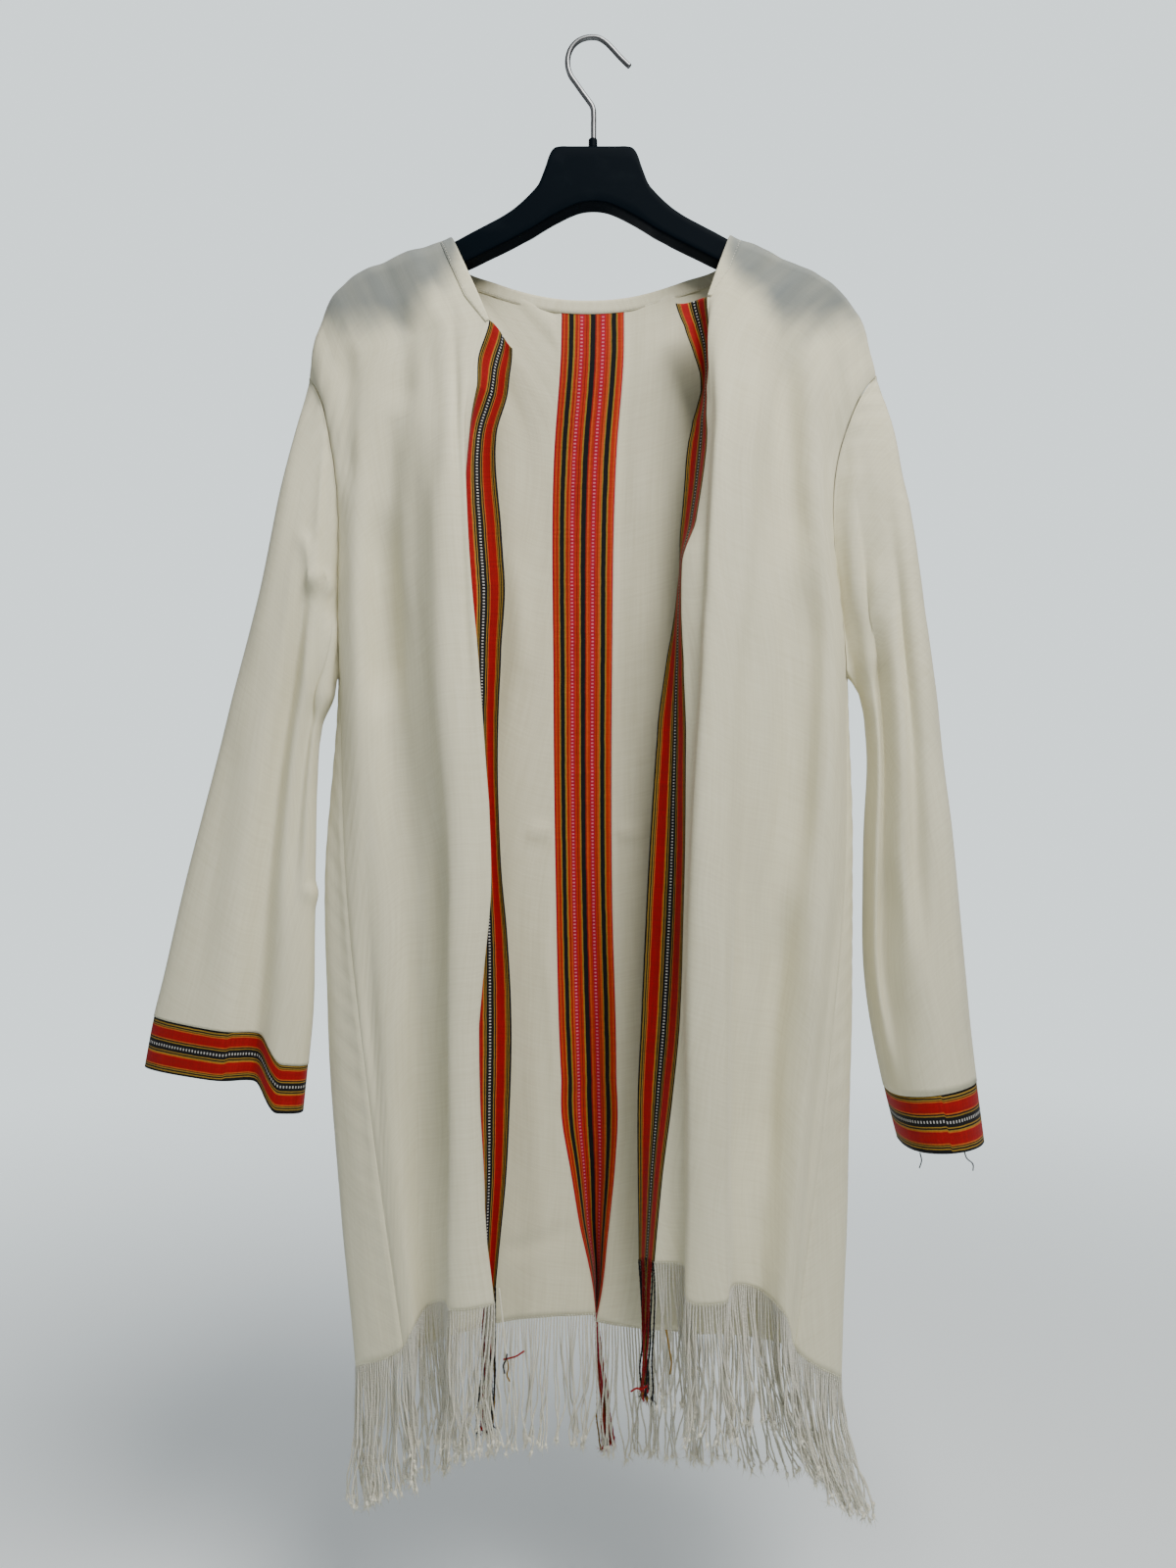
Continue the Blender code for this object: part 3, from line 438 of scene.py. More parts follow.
BACK = folds(
    ("left_edge", (-236, 10, -264), (-225, -216, -219, -228, -220, -198), (12, 15, 8, -6, -14, -22), -1127),
    ("left_turn", (-222, 16, -222), (-212, -206, -214, -223, -215, -191), (20, 26, 28, 22, 18, 14), -1141),
    ("left_ridge", (-192, 18, -197), (-189, -186, -189, -192, -184, -166), (24, 34, 42, 46, 46, 44), -1144),
    ("left_trough", (-164, 18, -187), (-158, -150, -149, -152, -145, -131), (22, 24, 26, 28, 28, 26), -1124),
    ("left_rise", (-131, 17, -174), (-124, -119, -117, -119, -114, -103), (22, 31, 38, 42, 42, 41), -1121),
    ("left_neck", (-122, 16, -171), (-116, -111, -109, -111, -106, -96), (22, 32, 40, 44, 45, 44), -1120),
    ("left_hollow", (-117, 17, -188), (-104, -98, -96, -97, -92, -82), (22, 31, 39, 41, 41, 40), -1116),
    ("left_plain", (-84, 18, -203), (-79, -73, -72, -74, -69, -60), (20, 28, 34, 36, 36, 34), -1110),
    ("band_left", (-27, 20, -216), (-28, -34, -35, -33, -28, -9), (22, 30, 38, 40, 39, 38), -1108),
    ("band_middle", (0, 20, -217), (-1, -6, -9, -8, -4, 2), (22, 30, 38, 42, 51, 61), -1114),
    ("band_right", (27, 20, -215), (27, 21, 17, 17, 21, 14), (22, 30, 38, 40, 39, 38), -1114),
    ("right_plain", (80, 18, -201), (80, 73, 74, 74, 68, 58), (20, 28, 36, 36, 35, 34), -1120),
    ("right_hollow", (113, 17, -187), (105, 102, 101, 99, 93, 84), (22, 31, 40, 42, 42, 40), -1125),
    ("right_neck", (118, 16, -170), (117, 117, 116, 115, 110, 101), (22, 32, 42, 46, 46, 44), -1128),
    ("right_rise", (127, 17, -174), (124, 124, 123, 122, 117, 108), (22, 31, 39, 43, 44, 42), -1127),
    ("right_trough", (160, 18, -189), (154, 150, 152, 151, 145, 135), (22, 24, 26, 28, 28, 28), -1123),
    ("right_ridge", (189, 18, -202), (185, 188, 193, 193, 186, 170), (24, 32, 40, 44, 44, 42), -1136),
    ("right_turn", (216, 16, -223), (207, 196, 214, 218, 213, 198), (20, 25, 27, 22, 18, 14), -1146),
    ("right_edge", (235, 10, -264), (220, 206, 220, 222, 218, 209), (12, 15, 8, -2, -9, -16), -1140),
)
(RIGHT_SEAM,) = folds(
    ("right_seam", (242, 0, -288), (228, 213, 217, 213, 195, 167), (0, 0, -2, -16, -27, -38), -1105),
)
FRONT_RIGHT = folds(
    ("side", (218, -16, -225), (194, 190, 198, 190, 175, 157), (-20, -22, -26, -32, -37, -42), -1074),
    ("trough", (191, -18, -203), (167, 161, 166, 157, 148, 139), (-22, -20, -18, -22, -24, -26), -1062),
    ("slope", (174, -18, -195), (148, 139, 131, 122, 118, 116), (-25, -32, -36, -38, -38, -38), -1053),
    ("face", (159, -18, -188), (129, 119, 109, 105, 105, 107), (-27, -42, -54, -62, -64, -64), -1057),
    ("turn", (144, -18, -182), (109, 101, 90, 80, 78, 78), (-28, -44, -54, -60, -62, -62), -1057),
    ("foot", (136, -17, -178), (103, 98, 88, 78, 75, 75), (-26, -36, -44, -44, -42, -40), -1037),
    ("root", (118, -16, -170), (96, 95, 79, 76, 67, 53), (-22, -30, -34, -34, -35, -36), -1035),
    ("free_edge", (107, -16, -166), (70, 81, 60, 46, 38, 39), (-14, -6, -8, -12, -11, -8), -1044),
)
NECK_WORDS = ("hollow", "plain", "band")
NECK_FOLDS = [fold.name for fold in BACK if any(word in fold.name for word in NECK_WORDS)]

# Each panel's folds in order, with one more past each seam, which keeps the cloth smooth there.
PANELS = {
    "front_left": FRONT_LEFT + [LEFT_SEAM, BACK[0]],
    "back": [FRONT_LEFT[-1], LEFT_SEAM, *BACK, RIGHT_SEAM, FRONT_RIGHT[0]],
    "front_right": [BACK[-1], RIGHT_SEAM] + FRONT_RIGHT,
}
LEFT_FREE, LEFT_ROOT, LEFT_SIDE = 0, 1, 7
BACK_LEFT, NECK_LEFT, BAND_LEFT, BAND_RIGHT, NECK_RIGHT, BACK_RIGHT = 1, 7, 10, 12, 15, 21
RIGHT_SIDE, RIGHT_ROOT, RIGHT_FREE = 1, 8, 9

# A row for each soft crease, as it is seen from the front: its two ends' x and z, how far its middle bows to
# the left of the way from the first end to the second, its height over the cloth (a trough's is below 0), and
# its half width.
Crease = namedtuple("Crease", "x1 z1 x2 z2 bow height width")

FRONT_LEFT_CREASES = [
    Crease(-206, -262, -208, -400, 0, -4.5, 9),
    Crease(-163, -228, -166, -330, 3, -4.0, 11),
    Crease(-181, -395, -178, -590, 4, -7.0, 13),
    Crease(-150, -300, -152, -520, -4, 3.0, 10),
    Crease(-120, -310, -116, -640, -5, 4.5, 11),
    Crease(-128, -600, -126, -1050, 0, -7.0, 8),
    Crease(-167, -600, -156, -940, -3, 4.0, 13),
    Crease(-195, -560, -178, -940, -3, -4.0, 10),
    Crease(-145, -760, -139, -1060, 2, -3.5, 8),
    Crease(-104, -700, -103, -1050, 1, 2.0, 9),
    Crease(-118, -215, -95, -620, -2, -3.2, 4),
    Crease(-136, -250, -128, -420, 1, -2.5, 8),
]
FRONT_RIGHT_CREASES = [
    Crease(206, -245, 207, -400, -2, -4.0, 9),
    Crease(163, -240, 178, -470, -5, -6.5, 12),
    Crease(180, -430, 168, -740, 6, -7.0, 13),
    Crease(136, -262, 120, -560, -3, 4.0, 10),
    Crease(166, -720, 141, -990, -5, -6.5, 10),
    Crease(194, -500, 183, -900, 2, 4.5, 13),
    Crease(122, -640, 118, -1040, 2, -3.5, 9),
    Crease(152, -400, 133, -780, 3, 3.0, 11),
    Crease(204, -700, 176, -1040, 3, -3.0, 9),
]
# A crease's height rises from both its ends, so many times faster than the share of the way along it.
CREASE_RISE = 3.5
# The cloth's own unevenness: slow waves across and down it, each with a height, two wavelengths and a turn.
Ripple = namedtuple("Ripple", "height across down turn")
CLOTH_RIPPLES = [
    Ripple(0.70, 61, 640, 0.4),
    Ripple(0.40, 37, 430, 2.1),
    Ripple(0.14, 19, 210, 4.4),
    Ripple(0.40, 105, 170, 1.3),
]
# A cloth's ripples turn on by the x of its first corner over so many millimetres, and sway by so much.
RIPPLE_SHIFT, RIPPLE_SWAY = 60, 0.9
CLOTH_MARGIN = 9.0
# A sewn seam draws the cloth in by this much, within this distance, and puckers it a little further on. The
# puckers' pitch wanders by so many radians over so many millimetres.
SEAM_DIP, SEAM_SOFT = 0.9, 2.4
PUCKER, PUCKER_PITCH, PUCKER_REACH = 0.35, 23.0, 9.0
PUCKER_WANDER, WANDER_LENGTH = 1.7, 41.0


def ease(share):
    """The share from 0 to 1, with a smooth start and end."""
    return share * share * (3 - 2 * share)


def fold_line(fold, owner, down):
    """The points down one fold. down is 0 at the shoulder and HEM at the hem."""
    x, y, z = fold.top
    yoke_z = z + YOKE_SHARE[owner] * (CHEST_Z - z)
    if fold.name == "free_edge":
        yoke_z -= FREE_EDGE_DROP[owner]
    heights = (yoke_z, CHEST_Z, WAIST_Z, HIP_Z, SKIRT_Z, fold.hem)
    rows = np.array([fold.top, *zip(fold.across, fold.forward, heights)], float)
    line = spline(rows, down)
    if fold.name == "root":
        straight = rows[0] + (rows[YOKE] - rows[0]) * down[:, None]
        line = np.where(down[:, None] < YOKE, straight, line)
    if fold.name not in NECK_FOLDS:
        line[:, 1] *= np.sqrt(1 - (1 - np.minimum(down / SHOULDER_ARC, 1)) ** 2)
    return line


def seam_line(seam, down, side):
    """The armhole's edge to the waist and the side seam below it. side is -1 on the front, 1 on the back."""
    line = fold_line(seam, "back", down)
    line[:, 1] += side * ARMHOLE_HALF * np.sin(np.pi * np.minimum(down / WAIST, 1))
    return line


# How the bands lie at the fronts' edges: a row for each place down, and how far the edge itself and the line
# where the band meets the cloth stand to the right there of where the folds above put them. On the back they
# are the band's left and right edges, which close to a V at the hem.
Edge = namedtuple("Edge", "down free root")

EDGES = {
    "front_left": (
        Edge(1.0, 0, 0), Edge(1.3, 0, -6), Edge(1.6, 2, 1), Edge(2.0, 0, 6), Edge(2.38, 7, 8),
        Edge(2.6, 8, 10), Edge(2.9, 2, 12), Edge(3.25, -2, 16), Edge(3.6, -3, 22), Edge(3.9, -2, 25),
        Edge(4.2, 1, 22), Edge(4.6, 1, 18), Edge(5.0, -1, 19), Edge(5.5, 0, 22), Edge(6.0, 0, 22),
    ),
    "front_right": (
        Edge(1.0, 0, 0), Edge(1.17, 10, 4), Edge(1.34, 16, 6), Edge(1.52, 19, 4), Edge(1.64, 17, 2),
        Edge(1.75, 11, 1), Edge(1.86, 5, 0), Edge(2.1, -2, 0), Edge(2.38, -2, -4), Edge(2.56, 2, -12),
        Edge(2.75, 3, -9), Edge(2.95, 1, -4), Edge(3.3, -1, 0), Edge(4.0, 0, 0), Edge(4.6, 1, 1),
        Edge(5.0, 0, -1), Edge(5.5, 0, -3), Edge(6.0, 0, -2),
    ),
    "back": (
        Edge(5.0, 0, 0), Edge(5.14, -2, 1.5), Edge(5.4, 2, 0), Edge(5.62, 5, -3), Edge(5.87, 11, -6.5),
        Edge(6.0, 11.5, -11),
    ),
}
# The shift fades out over this many folds from the line where the band meets the cloth.
EDGE_REACH = 1.0
EDGE_INDEX = {
    "front_left": (LEFT_FREE, LEFT_ROOT),
    "front_right": (RIGHT_FREE, RIGHT_ROOT),
    "back": (BAND_LEFT, BAND_RIGHT),
}
# The left front's foremost fold is moved along x too: the places down, the shifts there (to the left below 0)
# and how many folds they reach.
FOLD_BACK_DOWN = (2.6, 3.6, 4.0, 4.3, 4.62, 4.97, 5.3, 5.7, 6.0)
FOLD_BACK = (0, 0, -3, -7, -10, -8, -6, -4, 0)
FOLD_BACK_REACH = 0.7


def drape(panel, across, down):
    """The panel's points, a row for each place down and a column for each place across."""
    columns = []
    for fold in PANELS[panel]:
        if fold in (LEFT_SEAM, RIGHT_SEAM):
            columns.append(seam_line(fold, down, 1 if panel == "back" else -1))
            continue
        owner = "back" if fold in BACK else panel
        if owner == "back" and fold not in BACK:
            owner = "front_left" if fold in FRONT_LEFT else "front_right"
        columns.append(fold_line(fold, owner, down))
    grid = spline(columns, across).transpose(1, 0, 2)
    if panel in EDGES:
        free, root = EDGE_INDEX[panel]
        rows = np.array(EDGES[panel])
        places = np.interp(down, rows[:, 0], np.arange(len(rows)))
        shifts = spline(rows[:, 1:], places) * (down > YOKE)[:, None]
        share = np.clip((across - root) / (free - root), 0, 1)
        fade = np.clip(1 - np.abs(across - root) / EDGE_REACH, 0, 1)
        fade = np.where(share > 0, 1 - share, ease(fade))
        if panel == "back":
            past = np.clip(1 - (free - across) / EDGE_REACH, 0, 1)
            share = np.where(across < free, ease(past), share)
            fade = np.where(across < free, 0, fade)
        grid[:, :, 0] += shifts[:, :1] * share + shifts[:, 1:] * fade
        if panel == "front_left":
            near_fold = np.exp(-(((across - LEFT_ROOT - 1) / FOLD_BACK_REACH) ** 2))
            grid[:, :, 0] += np.interp(down, FOLD_BACK_DOWN, FOLD_BACK)[:, None] * near_fold
    near_shoulder = down < SHOULDER_ARC
    keep = np.maximum if panel == "back" else np.minimum
    grid[near_shoulder, :, 1] = keep(grid[near_shoulder, :, 1], 0)
    return grid


# Shares of the way across a panel where its cloth has more columns, close to each edge.
CLOSE_TO_EDGE = np.array((0.0035, 0.007, 0.0115, 0.018))


def places_between(start, end, count):
    """Even places across a panel, with a few more close to its edges, where the seams draw it in."""
    shares = np.sort(np.concatenate([np.linspace(0, 1, count), CLOSE_TO_EDGE, 1 - CLOSE_TO_EDGE]))
    return start + (end - start) * shares


def grid_normals(grid, closed=False):
    """The cloth's outward normals, at each of the grid's points."""
    if closed:
        along = np.roll(grid, -1, axis=1) - np.roll(grid, 1, axis=1)
    else:
        along = np.gradient(grid, axis=1)
    normals = np.cross(along, np.gradient(grid, axis=0))
    return normals / np.maximum(np.linalg.norm(normals, axis=2, keepdims=True), 1e-9)


def flat_sizes(grid):
    """The cloth's own flat coordinates at the grid's points: how far across and how far down it."""
    steps_across = np.linalg.norm(np.diff(grid, axis=1), axis=2)
    steps_down = np.linalg.norm(np.diff(grid, axis=0), axis=2)
    across = np.concatenate([np.zeros((len(grid), 1)), np.cumsum(steps_across, axis=1)], axis=1)
    down = np.concatenate([np.zeros((1, grid.shape[1])), np.cumsum(steps_down, axis=0)], axis=0)
    return across, down


def press(grid, creases, held, sewn, closed=False, unevenness=1.0):
    """The grid with its creases and ripples in it. They fade out at the edges in held, and the cloth is drawn
    in at the edges in sewn: left, right, top."""
    across, down = flat_sizes(grid)
    distances = {"left": across, "right": across[:, -1:] - across, "top": down}
    give = np.ones(grid.shape[:2])
    for edge in held:
        give *= ease(np.clip(distances[edge] / CLOTH_MARGIN, 0, 1))
    lift = np.zeros(grid.shape[:2])
    for crease in creases:
        start = np.array((crease.x1, crease.z1))
        way = np.array((crease.x2, crease.z2)) - start
        length = np.linalg.norm(way)
        place = grid[:, :, ::2] - start
        share = place @ way / length**2
        off = (place @ np.array((-way[1], way[0]))) / length - crease.bow * 4 * share * (1 - share)
        fade = np.clip(np.minimum(share, 1 - share) * CREASE_RISE, 0, 1)
        lift += crease.height * ease(fade) * np.exp(-((off / crease.width) ** 2))
    for ripple in CLOTH_RIPPLES:
        turn = ripple.turn + grid[0, 0, 0] / RIPPLE_SHIFT
        sway = np.sin(2 * np.pi * down / ripple.down + turn) * RIPPLE_SWAY
        lift += ripple.height * unevenness * np.sin(2 * np.pi * across / ripple.across + turn + sway)
    lift *= give
    for edge in sewn:
        along = across if edge == "top" else down
        lift -= SEAM_DIP * np.exp(-((distances[edge] / SEAM_SOFT) ** 2))
        wander = PUCKER_WANDER * np.sin(along / WANDER_LENGTH)
        wave = np.sin(2 * np.pi * along / PUCKER_PITCH + wander)
        lift += PUCKER * wave * (distances[edge] / PUCKER_REACH) * np.exp(1 - distances[edge] / PUCKER_REACH)
    return grid + grid_normals(grid, closed) * lift[..., None]


def make_shell(name, grid, material, flat=None, closed=False):
    """A thin cloth: the grid's points moved out to both sides by half its thickness, and its edges closed.
    The UV map holds the cloth's flat coordinates in metres."""
    rows, columns = grid.shape[:2]
    if flat is None:
        flat = flat_sizes(np.concatenate([grid, grid[:, :1]], axis=1) if closed else grid)
    normals = grid_normals(grid, closed)
    points = np.concatenate([grid + normals * CLOTH / 2, grid - normals * CLOTH / 2]).reshape(-1, 3)
    count = rows * columns
    last = columns if closed else columns - 1
    i, j = (part.ravel() for part in np.meshgrid(np.arange(rows - 1), np.arange(last), indexing="ij"))
    following = (j + 1) % columns
    cells = np.stack(
        [i * columns + j, i * columns + following, (i + 1) * columns + following, (i + 1) * columns + j], 1
    )
    wide = flat[0].shape[1]
    maps = np.stack([i * wide + j, i * wide + j + 1, (i + 1) * wide + j + 1, (i + 1) * wide + j], 1)
    edges, edge_maps = [], []
    for row, order in ((0, (0, 1)), (rows - 2, (2, 3))):
        chosen = i == row
        edges.append(cells[chosen][:, order])
        edge_maps.append(maps[chosen][:, order])
    if not closed:
        for column, order in ((columns - 2, (1, 2)), (0, (3, 0))):
            chosen = j == column
            edges.append(cells[chosen][:, order])
            edge_maps.append(maps[chosen][:, order])
    edges, edge_maps = np.concatenate(edges), np.concatenate(edge_maps)
    rims = np.stack([edges[:, 1], edges[:, 0], edges[:, 0] + count, edges[:, 1] + count], 1)
    rim_maps = edge_maps[:, (1, 0, 0, 1)]
    faces = np.concatenate([cells, cells[:, ::-1] + count, rims])
    map_corners = np.concatenate([maps, maps[:, ::-1], rim_maps])
    data = bpy.data.meshes.new(name)
    data.from_pydata((points * MM).tolist(), [], faces.tolist())
    uv = data.uv_layers.new(name="flat_cloth")
    places = np.stack([flat[0].ravel(), flat[1].ravel()], 1)[map_corners.ravel()] * MM
    uv.data.foreach_set("uv", places.ravel().astype(np.float32))
    data.materials.append(material)
    data.shade_smooth()
    shell = bpy.data.objects.new(name, data)
    bpy.context.scene.collection.objects.link(shell)
    return shell


def new_group(name, inputs, outputs):
    """A shader node group with named inputs (name, socket type, default) and outputs (name, socket type)."""
    group = bpy.data.node_groups.new(name, "ShaderNodeTree")
    for label, kind, value in inputs:
        socket = group.interface.new_socket(name=label, in_out="INPUT", socket_type=kind)
        if value is not None:
            socket.default_value = value
    for label, kind in outputs:
        group.interface.new_socket(name=label, in_out="OUTPUT", socket_type=kind)
    return group, group.nodes.new("NodeGroupInput").outputs, group.nodes.new("NodeGroupOutput").inputs


# The weave of every cloth of the jacket: warp and weft of fine uneven thread, with slubs, thicker stretches
# of this width and length in metres. The crossings of the threads stand up by this share of the slubs.
SLUB_WARP_M, SLUB_WEFT_M = (0.0022, 0.065, 1.0), (0.045, 0.0020, 1.0)
CROSSING_HEIGHT, SLUB_TONE = 0.22, 0.5
weave, weave_in, weave_out = new_group(
    "plain_weave",
    [("Flat Cloth", "NodeSocketVector", None), ("Thread", "NodeSocketFloat", 0.0008)],
    [("Height", "NodeSocketFloat"), ("Tone", "NodeSocketFloat")],
)
flat_x, flat_y, _ = split_place(weave, weave_in["Flat Cloth"])
turn_size = math_node(weave, "DIVIDE", 2 * math.pi, weave_in["Thread"])
warp = math_node(weave, "SINE", math_node(weave, "MULTIPLY", flat_x, turn_size))
weft = math_node(weave, "SINE", math_node(weave, "MULTIPLY", flat_y, turn_size))
slub_warp = grain_noise(weave, weave_in["Flat Cloth"], SLUB_WARP_M)
slub_weft = grain_noise(weave, weave_in["Flat Cloth"], SLUB_WEFT_M)
slubs = math_node(weave, "ADD", slub_warp, slub_weft)
crossing = math_node(weave, "MULTIPLY", warp, weft)
join(weave, weave_out["Height"], math_node(weave, "MULTIPLY_ADD", crossing, CROSSING_HEIGHT, slubs))
join(weave, weave_out["Tone"], math_node(weave, "MULTIPLY", slubs, SLUB_TONE))

# The ivory cloth itself. Along the tops of the shoulders a painted shade, blue and soft, lies in its colour,
# where the dark hanger would show through it.
IVORY = (0.790, 0.755, 0.560, 1)
IVORY_SHADE = (0.650, 0.602, 0.415, 1)
PAINTED_SHOW_THROUGH_SHADE = (0.14, 0.163, 0.170, 1)
THREAD_M, IVORY_RELIEF = 0.0009, 0.35
MOTTLE_GRAIN_M = (0.09, 0.22, 1.0)
WEAVE_CONTRAST, MOTTLE_SHARE = 2.2, 0.75
# Where the painted shade of the hanger's arm lies: from and to this far from the middle, and down to a foot
# that falls away from its start, in metres.
ARM_FROM_M, ARM_TO_M, ARM_SOFT_M = 0.112, 0.231, 0.009
ARM_FOOT_M, ARM_FALL, ARM_LOWEST_M, FOOT_SOFT_M = -0.200, 1.05, -0.250, 0.022
# The painted shade's foot wavers with clouds and streaks in the cloth, and the streaks let more or less of it
# show.
CLOUD_GRAIN_M, STREAK_GRAIN_M = (0.03, 0.05, 1.0), (0.022, 0.08, 1.0)
FOOT_WAVER_M, LEAST_SHADE_SHOWN, STREAK_SHADE_SHOWN = 0.022, 0.68, 0.35


def wear_cloth(tree, shader, place, thread_m, relief):
    """The weave's tone, and its relief on the shader."""
    threads = tree.nodes.new("ShaderNodeGroup")
    threads.node_tree = weave
    threads.inputs["Thread"].default_value = thread_m
    tree.links.new(place, threads.inputs["Flat Cloth"])
    add_bump(tree, shader, threads.outputs["Height"], strength=relief, distance=0.0003)
    return threads.outputs["Tone"]


def flat_cloth(tree):
    node = tree.nodes.new("ShaderNodeUVMap")
    node.uv_map = "flat_cloth"
    return node.outputs["UV"]


ivory, tree, shader = new_material("ivory_cloth_woven")
flat_place = flat_cloth(tree)
tone = wear_cloth(tree, shader, flat_place, THREAD_M, IVORY_RELIEF)
mottle = grain_noise(tree, flat_place, MOTTLE_GRAIN_M, detail=3.0)
tone = math_node(tree, "MULTIPLY_ADD", math_node(tree, "SUBTRACT", tone, 0.5), WEAVE_CONTRAST, mottle)
cloth_colour = mix_colours(tree, math_node(tree, "MULTIPLY", tone, MOTTLE_SHARE), IVORY, IVORY_SHADE)
# Painted shade: a blue-grey patch on each shoulder, mixed into the cloth's colour where the hanger's arm lies
# under it.
from_middle, _, height = split_place(tree, object_place(tree))
out_from_middle = math_node(tree, "ABSOLUTE", from_middle)
cloud = grain_noise(tree, flat_place, CLOUD_GRAIN_M)
streak = grain_noise(tree, flat_place, STREAK_GRAIN_M)
way_out = math_node(tree, "SUBTRACT", out_from_middle, ARM_FROM_M)
sloping = math_node(tree, "MULTIPLY_ADD", way_out, -ARM_FALL, ARM_FOOT_M)
foot = math_node(tree, "MAXIMUM", sloping, ARM_LOWEST_M)
waver = math_node(tree, "SUBTRACT", math_node(tree, "ADD", cloud, streak), 1.0)
waver = math_node(tree, "MULTIPLY", waver, FOOT_WAVER_M)
above_foot = math_node(tree, "ADD", math_node(tree, "SUBTRACT", height, foot), waver)
painted_shade = soft_step(tree, above_foot, -FOOT_SOFT_M, FOOT_SOFT_M)
for value, low, high in (
    (out_from_middle, ARM_FROM_M - ARM_SOFT_M, ARM_FROM_M + ARM_SOFT_M),
    (math_node(tree, "MULTIPLY", out_from_middle, -1.0), -ARM_TO_M - ARM_SOFT_M, -ARM_TO_M + ARM_SOFT_M),
):
    painted_shade = math_node(tree, "MULTIPLY", painted_shade, soft_step(tree, value, low, high))
streaky = math_node(tree, "MULTIPLY_ADD", streak, STREAK_SHADE_SHOWN, LEAST_SHADE_SHOWN)
painted_shade = math_node(tree, "MULTIPLY", painted_shade, streaky)
join(tree, shader.inputs["Base Color"], mix_colours(tree, painted_shade, cloth_colour, PAINTED_SHOW_THROUGH_SHADE))
shader.inputs["Roughness"].default_value = 0.86
shader.inputs["Sheen Weight"].default_value = 0.18
shader.inputs["Sheen Roughness"].default_value = 0.45
shader.inputs["Specular IOR Level"].default_value = 0.25

FRONT_COLUMNS, FRONT_ROWS = 90, 230
# The cloth's rows stand closer together towards the shoulder, by this power.
FRONT_CLOSER = 1.15
FRONT_CUT_M = (0.205, 0.95)
front_down = np.linspace(0, 1, FRONT_ROWS) ** FRONT_CLOSER * HEM
# A fringed cloth's lowest row, its piece, its flat cut and what it rests on, kept for the fringe's section.
Hem = namedtuple("Hem", "line piece cut rests_on")

hems = {}
for name, root, side, creases in (
    ("front_left", LEFT_ROOT, LEFT_SIDE, FRONT_LEFT_CREASES),
    ("front_right", RIGHT_ROOT, RIGHT_SIDE, FRONT_RIGHT_CREASES),
):
    grid = drape(name, places_between(min(root, side), max(root, side), FRONT_COLUMNS), front_down)
    grid = press(grid, creases, ("left", "right", "top"), ("right",) if root < side else ("left",))
    front = make_shell(f"cloth_{name}", grid, ivory)
    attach(front, "root")
    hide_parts(name)
    hems[name] = Hem(grid[-1], front, FRONT_CUT_M, ["hanger_body"])

# The two halves of the back, of the same cloth. They hang from the shoulders and the hanger, turn forward at
# the side seams, and carry the neck's edge between them.
BACK_COLUMNS, BACK_ROWS, BACK_CLOSER = 96, 220, 1.1
BACK_CUT_M = (0.27, 0.97)
BACK_LEFT_CREASES = [
    Crease(-150, -330, -140, -700, 4, -5.0, 12),
    Crease(-178, -420, -182, -900, -3, 4.0, 13),
    Crease(-62, -680, -30, -679, 0, -2.2, 7),
    Crease(-86, -1056, -8, -1028, 0, 2.2, 7),
    Crease(-44, -750, -20, -1010, 2, -3.5, 8),
    Crease(-95, -300, -88, -620, 3, 2.5, 12),
    Crease(-112, -700, -100, -1080, -3, -4.0, 12),
    Crease(-72, -420, -60, -560, 2, -2.0, 9),
]
BACK_RIGHT_CREASES = [
    Crease(150, -320, 146, -700, -4, -5.0, 12),
    Crease(182, -430, 184, -880, 3, 4.0, 13),
    Crease(16, -679, 54, -683, 0, -2.2, 7),
    Crease(60, -300, 72, -600, 3, 2.5, 12),
    Crease(44, -800, 28, -1070, -2, 3.5, 9),
    Crease(112, -700, 104, -1080, 3, -4.0, 12),
    Crease(40, -420, 46, -640, -2, -2.0, 9),
]
back_down = np.linspace(0, 1, BACK_ROWS) ** BACK_CLOSER * HEM
for name, start, end, creases, sewn in (
    ("back_left", BACK_LEFT, BAND_LEFT, BACK_LEFT_CREASES, "left"),
    ("back_right", BAND_RIGHT, BACK_RIGHT, BACK_RIGHT_CREASES, "right"),
):
    grid = drape("back", places_between(start, end, BACK_COLUMNS), back_down)
    grid = press(grid, creases, ("left", "right", "top"), (sewn,))
    half_back = make_shell(f"cloth_{name}", grid, ivory)
    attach(half_back, "root")
    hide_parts(name)
    hems[name] = Hem(grid[-1], half_back, BACK_CUT_M, ["hanger_body"])

# The woven bands down the fronts: a traditional striped band of red, gold and black with a white ladder down
# its middle, woven in one with the shawl's edge.
BLACK_THREAD, WHITE_THREAD = (0.003, 0.003, 0.004, 1), (0.50, 0.49, 0.47, 1)
RED_THREAD, AMBER_THREAD = (0.31, 0.0006, 0.002, 1), (0.48, 0.105, 0.008, 1)
GOLD_THREAD = (0.30, 0.175, 0.018, 1)
# A row for each stripe: the share of the band's width where it ends, and its thread.
EDGE_BAND_STRIPES = [
    (0.040, BLACK_THREAD), (0.066, GOLD_THREAD), (0.092, BLACK_THREAD), (0.112, GOLD_THREAD),
    (0.124, BLACK_THREAD), (0.146, AMBER_THREAD), (0.325, RED_THREAD), (0.347, AMBER_THREAD),
    (0.372, BLACK_THREAD), (0.392, GOLD_THREAD), (0.560, BLACK_THREAD), (0.582, GOLD_THREAD),
    (0.606, BLACK_THREAD), (0.630, GOLD_THREAD), (0.652, AMBER_THREAD), (0.850, RED_THREAD),
    (0.872, AMBER_THREAD), (0.888, BLACK_THREAD), (0.910, GOLD_THREAD), (0.935, BLACK_THREAD),
    (0.958, GOLD_THREAD), (1.0, BLACK_THREAD),
]
EDGE_BAND_WIDTH = 40.0
# The ladder's sides as shares of the width, and the way from rung to rung.
EDGE_BAND_RUNGS, EDGE_RUNG_PITCH_M = [(0.455, 0.503)], 0.0026
